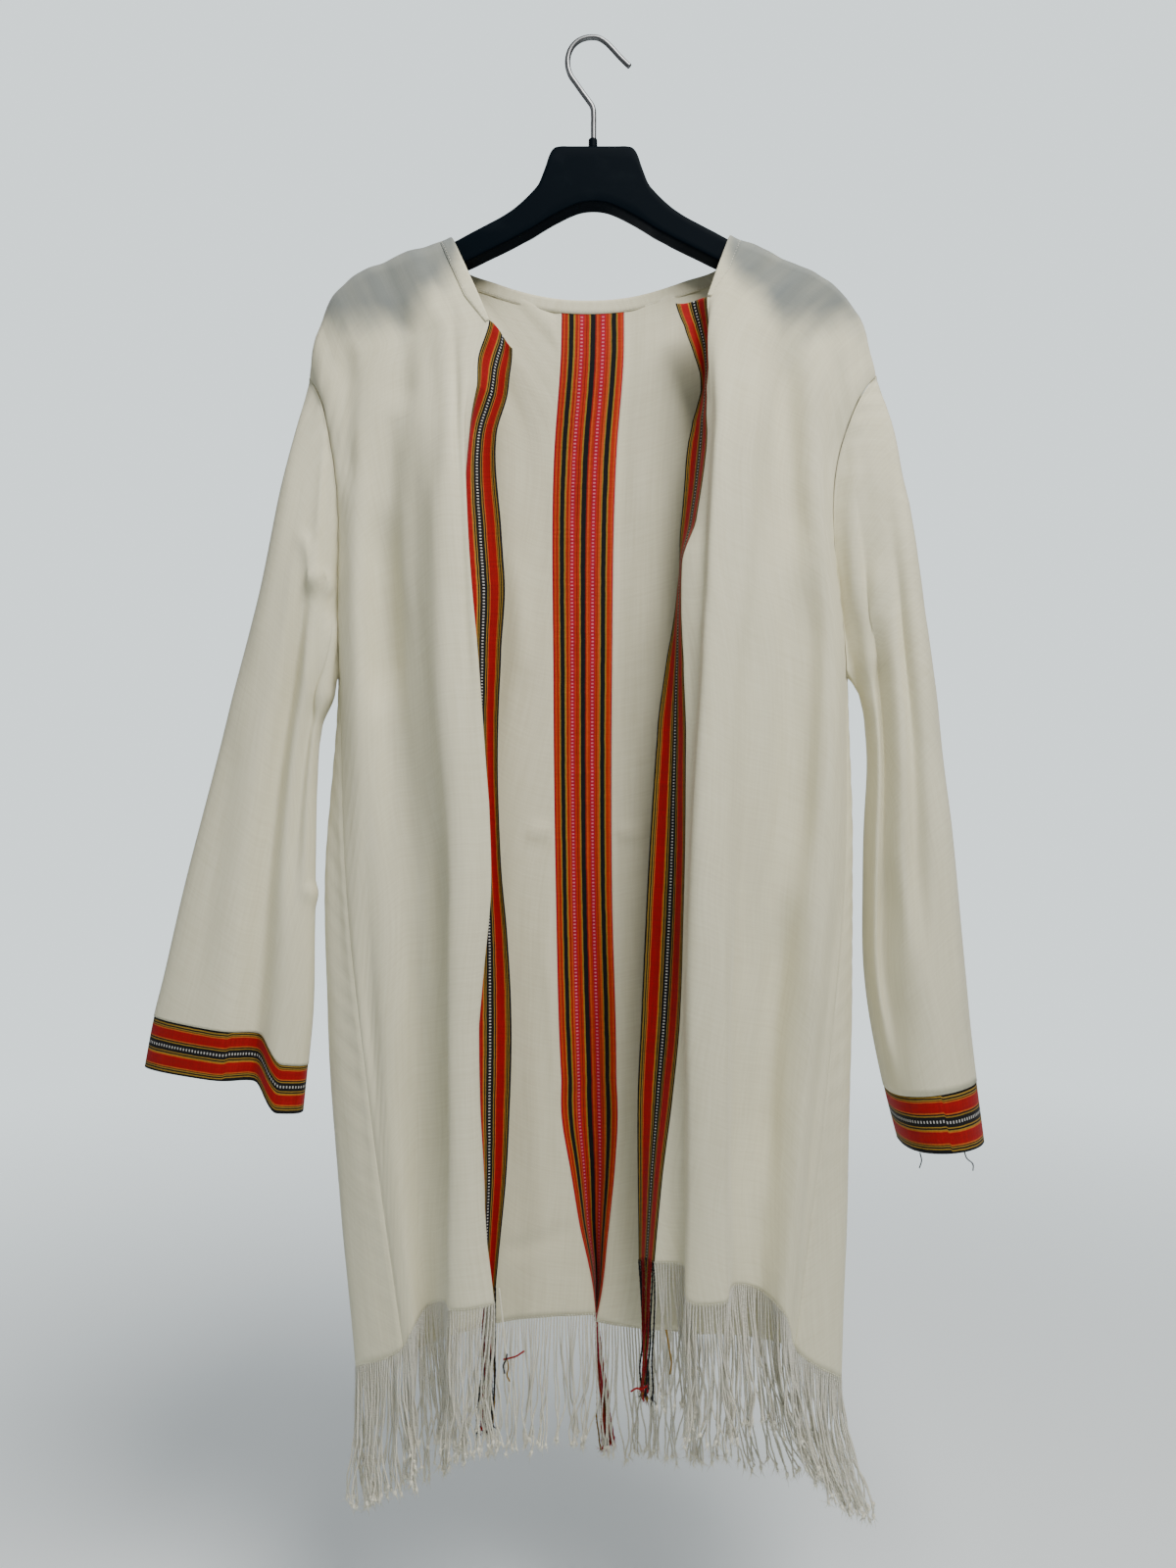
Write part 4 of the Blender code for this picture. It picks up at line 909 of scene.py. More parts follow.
# The finish of all the bands: their thread, how far their stripes waver, a rung's soft edge on its wave, and
# how much the weave's relief and its tone do to the colours.
BAND_THREAD_M, BAND_RELIEF = 0.0007, 0.5
WAVER_GRAIN_M, STRIPE_WAVER_M = (0.02, 0.012, 1.0), 0.0009
RUNG_LOW, RUNG_HIGH = 0.1, 0.5
BAND_DARKEST, BAND_TONE = 0.42, 1.1


def stripe_colours(tree, share, stripes):
    ramp = tree.nodes.new("ShaderNodeValToRGB")
    ramp.color_ramp.interpolation = "CONSTANT"
    elements = ramp.color_ramp.elements
    elements[0].position, elements[0].color = 0.0, stripes[0][1]
    elements.remove(elements[1])
    for (start, _), (_, colour) in zip(stripes, stripes[1:]):
        elements.new(start).color = colour
    tree.links.new(share, ramp.inputs["Fac"])
    return ramp.outputs["Color"]


def vector_math(tree, operation, first, second):
    node = tree.nodes.new("ShaderNodeVectorMath")
    node.operation = operation
    join(tree, node.inputs[0], first)
    join(tree, node.inputs["Scale"] if operation == "SCALE" else node.inputs[1], second)
    return node.outputs["Vector"]


def striped_band(name, stripes, width_m, rungs, rung_colour, rung_pitch_m):
    """A warp-striped band's material. The UV map holds metres across the band and along it. rungs are the
    stretches across, from and to, as shares of the width, that small light crossings run down."""
    material, tree, shader = new_material(name)
    flat_place = flat_cloth(tree)
    flat_x, flat_y, _ = split_place(tree, flat_place)
    waver = math_node(tree, "SUBTRACT", grain_noise(tree, flat_place, WAVER_GRAIN_M), 0.5)
    across = math_node(tree, "MULTIPLY_ADD", waver, STRIPE_WAVER_M, flat_x)
    share = math_node(tree, "DIVIDE", across, width_m)
    colour = stripe_colours(tree, share, stripes)
    wave = math_node(tree, "SINE", math_node(tree, "MULTIPLY", flat_y, 2 * math.pi / rung_pitch_m))
    on_rung = soft_step(tree, wave, RUNG_LOW, RUNG_HIGH)
    for start, end in rungs:
        inside = math_node(tree, "COMPARE", share, (start + end) / 2, (end - start) / 2)
        colour = mix_colours(tree, math_node(tree, "MULTIPLY", inside, on_rung), colour, rung_colour)
    tone = wear_cloth(tree, shader, flat_place, BAND_THREAD_M, BAND_RELIEF)
    shade = math_node(tree, "MULTIPLY_ADD", tone, BAND_TONE, BAND_DARKEST)
    join(tree, shader.inputs["Base Color"], vector_math(tree, "SCALE", colour, shade))
    shader.inputs["Roughness"].default_value = 0.78
    shader.inputs["Sheen Weight"].default_value = 0.06
    shader.inputs["Specular IOR Level"].default_value = 0.2
    return material


edge_band = striped_band("striped_band_red", EDGE_BAND_STRIPES, EDGE_BAND_WIDTH * MM,
                         EDGE_BAND_RUNGS, WHITE_THREAD, EDGE_RUNG_PITCH_M)
BAND_COLUMNS, BAND_ROWS = 26, 300
FRONT_BAND_CUT_M = (0.040, 0.90)
# A band is wider than the way between its edges, and curls back by this share of what a full arc would take.
BAND_CURL = 0.42
band_down = np.linspace(YOKE, HEM, BAND_ROWS)


def band_flat(grid, width):
    """Flat coordinates of a band: shares of its real width across, and the way down its middle."""
    across, down = flat_sizes(grid)
    share = across / across[:, -1:]
    return share * width, np.repeat(down[:, down.shape[1] // 2][:, None], grid.shape[1], axis=1)


for side, free, root in (("left", LEFT_FREE, LEFT_ROOT), ("right", RIGHT_ROOT, RIGHT_FREE)):
    grid = drape(f"front_{side}", np.linspace(free, root, BAND_COLUMNS), band_down)
    chord = np.linalg.norm(grid[:, -1] - grid[:, 0], axis=1)
    slack = np.maximum(EDGE_BAND_WIDTH - chord, 0) * chord
    grid[:, :, 1] += BAND_CURL * np.sqrt(slack)[:, None] * np.sin(np.linspace(0, math.pi, BAND_COLUMNS))
    band = make_shell(f"woven_band_{side}", grid, edge_band, band_flat(grid, EDGE_BAND_WIDTH))
    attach(band, "root")
    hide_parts(f"front_band_{side}")
    hems[f"band_{side}"] = Hem(grid[-1], band, FRONT_BAND_CUT_M, [f"cloth_front_{side}"])

# The woven band down the middle of the back: orange and red with three black stripes, and two magenta ones
# with a row of pale pink dots down each. It narrows to a V towards the hem.
ORANGE_THREAD, RUST_THREAD = (0.42, 0.022, 0.003, 1), (0.22, 0.005, 0.003, 1)
EMBER_THREAD, MAGENTA_THREAD = (0.50, 0.060, 0.008, 1), (0.40, 0.002, 0.022, 1)
PINK_THREAD = (0.62, 0.16, 0.21, 1)
BACK_BAND_STRIPES = [
    (0.020, MAGENTA_THREAD), (0.045, ORANGE_THREAD), (0.062, EMBER_THREAD), (0.078, RUST_THREAD),
    (0.102, ORANGE_THREAD), (0.122, GOLD_THREAD), (0.195, BLACK_THREAD), (0.222, GOLD_THREAD),
    (0.246, ORANGE_THREAD), (0.260, RUST_THREAD), (0.286, EMBER_THREAD), (0.365, MAGENTA_THREAD),
    (0.395, ORANGE_THREAD), (0.412, RUST_THREAD), (0.445, ORANGE_THREAD), (0.465, GOLD_THREAD),
    (0.540, BLACK_THREAD), (0.560, RUST_THREAD), (0.590, EMBER_THREAD), (0.628, ORANGE_THREAD),
    (0.706, MAGENTA_THREAD), (0.735, ORANGE_THREAD), (0.750, RUST_THREAD), (0.782, EMBER_THREAD),
    (0.802, GOLD_THREAD), (0.878, BLACK_THREAD), (0.900, GOLD_THREAD), (0.950, ORANGE_THREAD),
    (0.980, EMBER_THREAD), (1.0, MAGENTA_THREAD),
]
BACK_BAND_WIDTH, BACK_BAND_COLUMNS = 55.0, 36
BACK_BAND_CUT_M = (0.055, 0.93)
BACK_BAND_DOTS, DOT_PITCH_M = [(0.306, 0.344), (0.648, 0.686)], 0.0031
back_band = striped_band("striped_band_orange", BACK_BAND_STRIPES, BACK_BAND_WIDTH * MM,
                         BACK_BAND_DOTS, PINK_THREAD, DOT_PITCH_M)
grid = drape("back", np.linspace(BAND_LEFT, BAND_RIGHT, BACK_BAND_COLUMNS), np.linspace(0, HEM, BAND_ROWS))
band = make_shell("woven_band_back", grid, back_band, band_flat(grid, BACK_BAND_WIDTH))
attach(band, "root")
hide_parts("back_band")
hems["back_band"] = Hem(grid[-1], band, BACK_BAND_CUT_M, ["cloth_back_left", "cloth_back_right"])

# The sleeves: straight tubes of the same cloth, set into the armholes and hanging flat, with soft valleys
# down their length. Each ends in a cuff of the striped band, sewn on and joined under the arm.

# A row for each section down a sleeve, below the armhole's edge: its outer and its inner line's x and z, how
# far it reaches to the front and the back, and how far the roll under the arm hangs down.
Ring = namedtuple("Ring", "outer_x outer_z inner_x inner_z front back droop")

SLEEVE_LEFT = [
    Ring(-251, -325, -228, -562, -18, 18, 0),
    Ring(-265, -390, -232, -583, -22, 20, 0),
    Ring(-283, -473, -235, -606, -22, 20, 0),
    Ring(-304, -549, -237, -638, -22, 18, 0),
    Ring(-328, -643, -238, -690, -22, 18, 3),
    Ring(-349, -726, -239, -751, -22, 18, 9),
    Ring(-367, -804, -240, -818, -23, 18, 17),
    Ring(-375, -836, -244, -858, -24, 18, 21),
    Ring(-383, -878, -248, -896, -24, 18, 22),
]
SLEEVE_RIGHT = [
    Ring(254, -325, 229, -562, -20, 20, 0),
    Ring(265, -381, 234, -587, -26, 24, 0),
    Ring(276, -453, 236, -608, -32, 28, 0),
    Ring(286, -524, 236, -638, -38, 32, 0),
    Ring(296, -608, 234, -680, -42, 36, 0),
    Ring(304, -688, 233, -730, -44, 40, 0),
    Ring(312, -772, 234, -796, -46, 42, 0),
    Ring(325, -890, 252, -902, -48, 46, 0),
    Ring(331, -937, 263, -944, -48, 46, 0),
]
# A row for each valley along a sleeve: its place round the tube at its two ends, as a share of a turn from
# the outer line over the front, its depth, its half width as a share of a turn, and the shares of the
# sleeve's length where it starts and ends.
Valley = namedtuple("Valley", "turn_start turn_end depth width start end")

VALLEYS_LEFT = [
    Valley(0.27, 0.31, 16, 0.035, 0.12, 1.06),
    Valley(0.40, 0.37, 7, 0.030, 0.05, 0.60),
    Valley(0.72, 0.68, 13, 0.040, 0.15, 1.06),
]
VALLEYS_RIGHT = [
    Valley(0.33, 0.38, 14, 0.035, 0.06, 0.80),
    Valley(0.20, 0.26, 9, 0.035, 0.18, 0.75),
    Valley(0.72, 0.70, 15, 0.045, 0.15, 1.06),
]
SLEEVE_LEFT_CREASES = [
    Crease(-246, -420, -238, -484, 3, -4.0, 6),
    Crease(-242, -459, -219, -473, 0, -4.5, 6),
    Crease(-217, -485, -231, -590, -3, -6.0, 7),
    Crease(-246, -722, -230, -744, 0, -2.5, 5),
    Crease(-258, -330, -292, -560, 5, -2.5, 11),
    Crease(-300, -560, -340, -840, 3, 2.5, 12),
]
SLEEVE_RIGHT_CREASES = [
    Crease(223, -345, 227, -515, -4, -4.5, 7),
    Crease(240, -440, 234, -560, 0, -4.5, 7),
    Crease(262, -360, 284, -640, -4, -3.0, 11),
    Crease(282, -600, 303, -880, 4, -3.5, 11),
    Crease(245, -690, 262, -880, 0, 3.0, 9),
]
# How full a sleeve's section is: 1 is an ellipse, and lower is squarer. A valley reaches its full depth after
# this share of its length. The roll under the arm starts a share of the way in and is whole a little further.
SLEEVE_FULLNESS, VALLEY_RISE = 0.75, 0.31
ROLL_STARTS, ROLL_RISE = 0.70, 0.16
# Points round a sleeve, its rows down to the cuff, and the cuff's own. More rows stand next to the armhole,
# down to this place between its edge and the first section.
SLEEVE_ROUND, SLEEVE_ROWS, CUFF_ROWS = 140, 132, 20
ARMHOLE_ROWS, ARMHOLE_PLACE = 8, 0.2
SLEEVE_UNEVENNESS = 0.2
# The cuff's share of the sleeve's length, how far it stands over the cloth, and how far its stitches stand
# over its middle, as a share of its thickness.
CUFF_SHARE, CUFF_OVER, STITCH_OVER = 0.115, 0.5, 0.7
# The cuff's two ends meet at this share of the way in under the arm, where its stripes step by so much.
CUFF_JOIN, CUFF_STEP = 0.53, 0.03


def sleeve_ring(ring, valleys, share):
    """The points round one section of a sleeve, from its outer line over the front."""
    turn = np.arange(SLEEVE_ROUND) / SLEEVE_ROUND
    inward = (1 - np.cos(2 * np.pi * turn)) / 2
    swing = np.sin(2 * np.pi * turn)
    reach = np.where(swing > 0, -ring.front, ring.back)
    y = -np.sign(swing) * np.abs(swing) ** SLEEVE_FULLNESS * reach
    for valley in valleys:
        if valley.start < share < valley.end:
            along = (share - valley.start) / (valley.end - valley.start)
            middle = valley.turn_start + (valley.turn_end - valley.turn_start) * along
            swell = math.sin(math.pi / 2 * min(along / VALLEY_RISE, 1))
            y += np.sign(swing) * swell * valley.depth * np.exp(-(((turn - middle) / valley.width) ** 2))
    roll = np.clip((inward - ROLL_STARTS) / ROLL_RISE, 0, 1)
    x = ring.outer_x + (ring.inner_x - ring.outer_x) * inward
    z = ring.outer_z + (ring.inner_z - ring.outer_z) * inward - ring.droop * ease(roll)
    return np.stack([x, y, z], 1)


def armhole_ring(seam):
    """The sleeve's sewn edge, from the shoulder down the front and up the back."""
    turn = 2 * np.arange(SLEEVE_ROUND) / SLEEVE_ROUND
    down = np.where(turn <= 1, turn, 2 - turn) * WAIST
    front, back = seam_line(seam, down, -1), seam_line(seam, down, 1)
    return np.where((turn <= 1)[:, None], front, back)


cuff_seams = []
for side, seam, rings, valleys, creases in (
    ("left", LEFT_SEAM, SLEEVE_LEFT, VALLEYS_LEFT, SLEEVE_LEFT_CREASES),
    ("right", RIGHT_SEAM, SLEEVE_RIGHT, VALLEYS_RIGHT, SLEEVE_RIGHT_CREASES),
):
    rows = [armhole_ring(seam)]
    rows += [sleeve_ring(ring, valleys, (k + 1) / len(rings)) for k, ring in enumerate(rings)]
    last = len(rows) - 1
    cuff_start = last * (1 - CUFF_SHARE)
    if side == "right":
        rows = [np.roll(row[::-1], 1, axis=0) for row in rows]
    places = np.concatenate([
        np.linspace(0, ARMHOLE_PLACE, ARMHOLE_ROWS)[:-1],
        np.linspace(ARMHOLE_PLACE, cuff_start, SLEEVE_ROWS),
        np.linspace(cuff_start, last, CUFF_ROWS)[1:],
    ])
    grid = press(spline(rows, places), creases, ("top",), ("top",), True, SLEEVE_UNEVENNESS)
    sleeve = make_shell(f"cloth_sleeve_{side}", grid[:-CUFF_ROWS + 1], ivory, closed=True)
    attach(sleeve, "root")
    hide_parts(f"sleeve_{side}")
    grid = grid[-CUFF_ROWS:]
    grid = grid + grid_normals(grid, True) * CUFF_OVER
    across, down = flat_sizes(np.concatenate([grid, grid[:, :1]], axis=1))
    inward = (1 - np.cos(2 * np.pi * np.arange(SLEEVE_ROUND + 1) / SLEEVE_ROUND)) / 2
    share = down / down[-1] + np.where(inward > CUFF_JOIN, CUFF_STEP, 0.0)
    around = np.repeat(across[CUFF_ROWS // 2][None], CUFF_ROWS, axis=0)
    cuff = make_shell(f"woven_cuff_{side}", grid, edge_band, (share * EDGE_BAND_WIDTH, around), closed=True)
    cuff_seams.append(grid[1] + grid_normals(grid, True)[1] * CLOTH * STITCH_OVER)
    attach(cuff, "root")
    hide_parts(f"cuff_{side}")

# The neck's binding: a bias strip of the ivory cloth, folded over the raw edge from one band's top round the
# neck to the other's, and stitched down along its inner edge.
BINDING_REACH, BINDING_HALF = 10.5, 0.95
# From each end, it grows over this length from this share of its width to the whole.
BINDING_TAPER, BINDING_END = 28.0, 0.35
# Its section: shares of the reach and of half the thickness, from its inner edge round the fold and back.
BINDING_SECTION = [
    (1.0, 0.55), (0.97, 0.92), (0.62, 1.0), (0.10, 1.05), (-0.06, 0.9), (-0.12, 0.0),
    (-0.06, -0.9), (0.10, -1.05), (0.62, -1.0), (0.97, -0.92), (1.0, -0.55),
]
# It follows each front and the back's neck by so many points. Its inner edge is aimed this much of a fold in
# on the fronts, and this far down on the back.
BINDING_FRONT_POINTS, BINDING_BACK_POINTS = 60, 140
AIM_FOLDS, AIM_DOWN = 0.3, 0.10
# It is laid in steps this long, and its path and its width's turn are averaged over so many of them.
BINDING_STEP, BINDING_SOFT, BINDING_TURN = 2.0, 1.6, 5.0
# Its stitches stand this far inside its inner edge, and out from its middle by this share of BINDING_HALF.
STITCH_IN, STITCH_OUT = 1.7, 1.05


def soften(rows, steps):
    """The rows averaged with their neighbours, with their ends held."""
    reach = int(3 * steps) + 1
    weights = np.exp(-((np.arange(-reach, reach + 1) / steps) ** 2) / 2)
    padded = np.concatenate([
        2 * rows[0] - rows[reach:0:-1],
        rows,
        2 * rows[-1] - rows[-2:-reach - 2:-1],
    ])
    return np.stack([np.convolve(column, weights / weights.sum(), "valid") for column in padded.T], 1)


down_front = np.linspace(0, YOKE, BINDING_FRONT_POINTS)
across_neck = np.linspace(NECK_LEFT, NECK_RIGHT, BINDING_BACK_POINTS)[1:-1]
top_row = np.array([0.0])
edge, inner = [], []
for rows, share in ((edge, 0.0), (inner, 1.0)):
    rows.append(drape("front_left", np.array([LEFT_ROOT + AIM_FOLDS * share]), down_front)[::-1, 0])
    rows.append(drape("back", across_neck, top_row + AIM_DOWN * share)[0])
    rows.append(drape("front_right", np.array([RIGHT_ROOT - AIM_FOLDS * share]), down_front)[:, 0])
edge, inner = np.concatenate(edge), np.concatenate(inner)
lengths = np.concatenate([[0], np.cumsum(np.linalg.norm(np.diff(edge, axis=0), axis=1))])
marks = np.arange(0, lengths[-1], BINDING_STEP)
path = np.stack([np.interp(marks, lengths, edge[:, axis]) for axis in range(3)], 1)
into = inner - edge
into /= np.linalg.norm(into, axis=1, keepdims=True)
into = np.stack([np.interp(marks, lengths, into[:, axis]) for axis in range(3)], 1)
path, into = soften(path, BINDING_SOFT), soften(into, BINDING_TURN)
ahead = np.gradient(path, axis=0)
ahead /= np.linalg.norm(ahead, axis=1, keepdims=True)
into -= ahead * (into * ahead).sum(axis=1, keepdims=True)
into /= np.linalg.norm(into, axis=1, keepdims=True)
out = np.cross(ahead, into)
to_end = np.minimum(marks, marks[-1] - marks)
into *= (BINDING_END + (1 - BINDING_END) * np.clip(to_end / BINDING_TAPER, 0, 1))[:, None]
rings = [
    path + into * BINDING_REACH * reach + out * BINDING_HALF * height
    for reach, height in BINDING_SECTION
]
binding = ring_mesh("bias_neck_binding", np.stack(rings, 1), ivory, bias=True)
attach(binding, "root")
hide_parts("neck_binding_left", "neck_binding_back", "neck_binding_right")
seam_paths = [
    (path + into * (BINDING_REACH - STITCH_IN) + out * BINDING_HALF * side, False)
    for side in (STITCH_OUT, -STITCH_OUT)
]
seam_paths += [(seam, True) for seam in cuff_seams]

# The stitches: short running stitches of ivory thread along the neck's binding, on both its faces, and along
# the cuffs where they are sewn on. A tree lays them along the seams' lines.
STITCH_PITCH, STITCH_LONG, STITCH_THICK = 2.7, 2.0, 0.42
STITCH_SIDES, STITCH_RINGS = 6, 4
THREAD_LIGHT, THREAD_SHADE = (0.95, 0.925, 0.80, 1), (0.87, 0.835, 0.69, 1)
# A twisted thread's plies: from one to the next, how far they slant, and how high they stand over the fibres.
PLY_PITCH_M, PLY_SLANT, PLY_HEIGHT = 0.0021, 0.7, 0.35
FIBRE_GRAIN_M = (0.0007, 0.0007, 0.004)
# The ivory thread is darker in patches of this size, where their noise stands between these.
PATCH_GRAIN_M, PATCH_FROM, PATCH_TO = (0.004, 0.006, 0.05), 0.35, 0.75
# Painted shade in the grooves between the plies: how dark the threads are at their lowest and what their
# height, with the fibres' own uneven tone, adds; and the share of the light that comes through.
PLY_SHADE_BASE, PLY_SHADE_AND_TONE = 0.92, 0.20
THREAD_THROUGH = 0.30
# The strength of the sheen of stray fibres, on the coloured threads and on the ivory ones.
COLOURED_FUZZ, IVORY_FUZZ = 0.1, 0.7


def add_node(tree, kind, sources, **settings):
    """A node with its settings made, and its named inputs set or linked."""
    node = tree.nodes.new(kind)
    for label, value in settings.items():
        setattr(node, label, value)
    for label, source in sources.items():
        join(tree, next(socket for socket in node.inputs if socket.name == label and socket.enabled), source)
    return node


def combine(tree, x, y, z):
    return add_node(tree, "ShaderNodeCombineXYZ", {"X": x, "Y": y, "Z": z}).outputs["Vector"]


def geometry_tree(name, inputs):
    """A Geometry Nodes tree with named inputs (name, socket type), and its input and output sockets."""
    tree = bpy.data.node_groups.new(name, "GeometryNodeTree")
    for label, kind in [("Geometry", "NodeSocketGeometry"), *inputs, ("Material", "NodeSocketMaterial")]:
        tree.interface.new_socket(name=label, in_out="INPUT", socket_type=kind)
    tree.interface.new_socket(name="Geometry", in_out="OUTPUT", socket_type="NodeSocketGeometry")
    return tree, tree.nodes.new("NodeGroupInput").outputs, tree.nodes.new("NodeGroupOutput").inputs


def resample(tree, curve, mode, size):
    """The curve with even points: steps of a LENGTH, or a COUNT of them."""
    sources = {"Curve": curve, mode.capitalize(): size}
    return add_node(tree, "GeometryNodeResampleCurve", sources, mode=mode).outputs[0]


def finish_tree(tree, geometry, material, target):
    real = add_node(tree, "GeometryNodeRealizeInstances", {"Geometry": geometry})
    smooth = add_node(tree, "GeometryNodeSetShadeSmooth", {"Geometry": real.outputs[0]})
    painted = add_node(tree, "GeometryNodeSetMaterial", {"Geometry": smooth.outputs[0], "Material": material})
    join(tree, target, painted.outputs[0])


def grow(name, lines, tree, values):
    """The plain mesh that a tree makes along lines, each a list of points and whether it closes."""
    points, edges = [], []
    for line, closed in lines:
        first, count = len(points), len(line)
        points += [tuple(point) for point in np.asarray(line, float) * MM]
        edges += [(first + k, first + k + 1) for k in range(count - 1)]
        edges += [(first + count - 1, first)] if closed else []
    data = bpy.data.meshes.new(f"{name}_line")
    data.from_pydata(points, edges, [])
    source = bpy.data.objects.new(f"{name}_line", data)
    bpy.context.scene.collection.objects.link(source)
    modifier = source.modifiers.new("grow", "NODES")
    modifier.node_group = tree
    for item in tree.interface.items_tree:
        if item.item_type == "SOCKET" and item.in_out == "INPUT" and item.name in values:
            modifier[item.identifier] = values[item.name]
    evaluated = source.evaluated_get(bpy.context.evaluated_depsgraph_get())
    grown = bpy.data.meshes.new_from_object(evaluated)
    grown.name = name
    source.modifiers.remove(modifier)
    bpy.data.objects.remove(source)
    piece = bpy.data.objects.new(name, grown)
    bpy.context.scene.collection.objects.link(piece)
    return piece


stitching, given, result = geometry_tree(
    "running_stitches",
    [("Pitch", "NodeSocketFloat"), ("Long", "NodeSocketFloat"), ("Thick", "NodeSocketFloat")],
)
line = add_node(stitching, "GeometryNodeMeshToCurve", {"Mesh": given["Geometry"]})
line = resample(stitching, line.outputs[0], "LENGTH", given["Pitch"])
stitch = add_node(stitching, "GeometryNodeMeshUVSphere", {
    "Segments": STITCH_SIDES, "Rings": STITCH_RINGS, "Radius": 0.5,
})
stitch = add_node(stitching, "GeometryNodeTransform", {
    "Geometry": stitch.outputs[0],
    "Scale": combine(stitching, given["Long"], given["Thick"], given["Thick"]),
})
tangent = stitching.nodes.new("GeometryNodeInputTangent").outputs[0]
lie = add_node(stitching, "FunctionNodeAlignRotationToVector", {"Vector": tangent}, axis="X")
laid = add_node(stitching, "GeometryNodeInstanceOnPoints", {
    "Points": line, "Instance": stitch.outputs[0], "Rotation": lie.outputs[0],
})
finish_tree(stitching, laid.outputs[0], given["Material"], result["Geometry"])


def spun_thread(tree, shader, colour, fuzz):
    """A twisted thread's finish: slanted ply marks with painted shade in the grooves between the plies, stray
    fibres that vary its tone, a soft sheen over its colour, and a share of the light let through."""
    place = object_place(tree)
    x, _, z = split_place(tree, place)
    slant = math_node(tree, "MULTIPLY_ADD", x, PLY_SLANT, z)
    ply = math_node(tree, "SINE", math_node(tree, "MULTIPLY", slant, 2 * math.pi / PLY_PITCH_M))
    height = math_node(tree, "MULTIPLY_ADD", ply, PLY_HEIGHT, grain_noise(tree, place, FIBRE_GRAIN_M))
    # Painted shade: the colour darkens where the ply marks sink, and the fibres' noise varies it too.
    shade = math_node(tree, "MULTIPLY_ADD", height, PLY_SHADE_AND_TONE, PLY_SHADE_BASE)
    shaded = vector_math(tree, "SCALE", colour, shade)
    join(tree, shader.inputs["Base Color"], shaded)
    shader.inputs["Roughness"].default_value = 0.85
    shader.inputs["Sheen Weight"].default_value = fuzz
    shader.inputs["Sheen Roughness"].default_value = 0.6
    shader.inputs["Specular IOR Level"].default_value = 0.2
    add_bump(tree, shader, height, strength=0.22, distance=0.0002)
    through = tree.nodes.new("ShaderNodeBsdfTranslucent")
    join(tree, through.inputs["Color"], shaded)
    both = tree.nodes.new("ShaderNodeMixShader")
    both.inputs["Fac"].default_value = THREAD_THROUGH
    tree.links.new(shader.outputs[0], both.inputs[1])
    tree.links.new(through.outputs[0], both.inputs[2])
    tree.links.new(both.outputs[0], tree.nodes["Material Output"].inputs["Surface"])


ivory_thread, tree, shader = new_material("ivory_twisted_thread")
patches = grain_noise(tree, object_place(tree), PATCH_GRAIN_M, detail=3.0)
patches = soft_step(tree, patches, PATCH_FROM, PATCH_TO)
spun_thread(tree, shader, mix_colours(tree, patches, THREAD_LIGHT, THREAD_SHADE), IVORY_FUZZ)

stitches = grow("ivory_stitches", seam_paths, stitching, {
    "Pitch": STITCH_PITCH * MM,
    "Long": STITCH_LONG * MM,
    "Thick": STITCH_THICK * MM,
    "Material": ivory_thread,
})
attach(stitches, "root")

# The fringe: the shawl's own warp ends, twisted in pairs into soft cords and knotted, with a small frayed
# tuft under each knot. The cords under the woven bands have their colours. A tree hangs them from the hems.
CORD_LENGTH, CORD_SPACING, CORD_HALF = 116.0, 2.5, 1.0
SHORTEST_CORD, LONGEST_CORD = 0.93, 1.03
# A cord's points, its turns of twist, the turn from one cord to the next in radians, and its section's depth
# for its width.
CORD_RINGS, CORD_TURNS, CORD_STEP, CORD_FLATNESS = 58, 11.0, 2.4, 0.82
ROOT_OVER = 1.5
# The cords sway by this much at their ends, by the sum of three drifts. A drift has its steps from cord to
# cord and down a cord, and its share. All are this strong to the side and to the front, and SEED_STEP makes
# each fringe's own.
Drift = namedtuple("Drift", "apart waves share")
CORD_DRIFTS = (Drift(0.13, 0.9, 0.9), Drift(3.71, 1.9, 0.75), Drift(7.13, 6.0, 0.14))
CORD_SWAY, SWAY_WIDE, SWAY_DEEP, SEED_STEP = 13.0, 2.6, 2.2, 1.37
# Neighbouring cords lean together: every so many cords, by so many mm at the ends, with a turn for each seed.
Bunch = namedtuple("Bunch", "every far turn")
CORD_BUNCHES = (Bunch(7.0, 1.9, 1.3), Bunch(4.4, 1.0, 2.7), Bunch(17.0, 2.6, 0.6))
# The right side's cords swing out to the right, more and more from here to here.
CORD_FLARE, FLARE_FROM_M, FLARE_TO_M = 26.0, 0.095, 0.175
# The powers of the way down by which the cords sway, bunch and flare.
SWAY_POWER, BUNCH_POWER, FLARE_POWER = 1.25, 0.8, 2.2
# A knot: its outline's radii and heights, its sides, its turn for each millimetre of height, and its depth
# for its width. Each knot is tipped and spun by up to these, and given a size between these.
KNOT_OUTLINE = [(0.9, 1.9), (1.55, 0.8), (1.35, -0.7), (0.8, -1.6)]
KNOT_SIDES, KNOT_TURN, KNOT_DEPTH = 6, 0.5, 0.85
KNOT_TIP, KNOT_SPIN, KNOT_SMALLEST, KNOT_LARGEST = 0.55, 6.28, 0.75, 1.2
# A tuft's frayed ends: how many, how long, half their thickness, and the height where they start. Their lean
# and length differ from end to end.
TUFT_ENDS, TUFT_LONG, TUFT_HALF, TUFT_TOP, TUFT_TURN = 6, 9.0, 0.42, -0.6, 0.6
TUFT_LEAN, LEAN_VARIES, LEAN_STEP = 0.75, 0.6, 2.3
TUFT_SHORTER, LENGTH_STEP = 0.25, 1.7

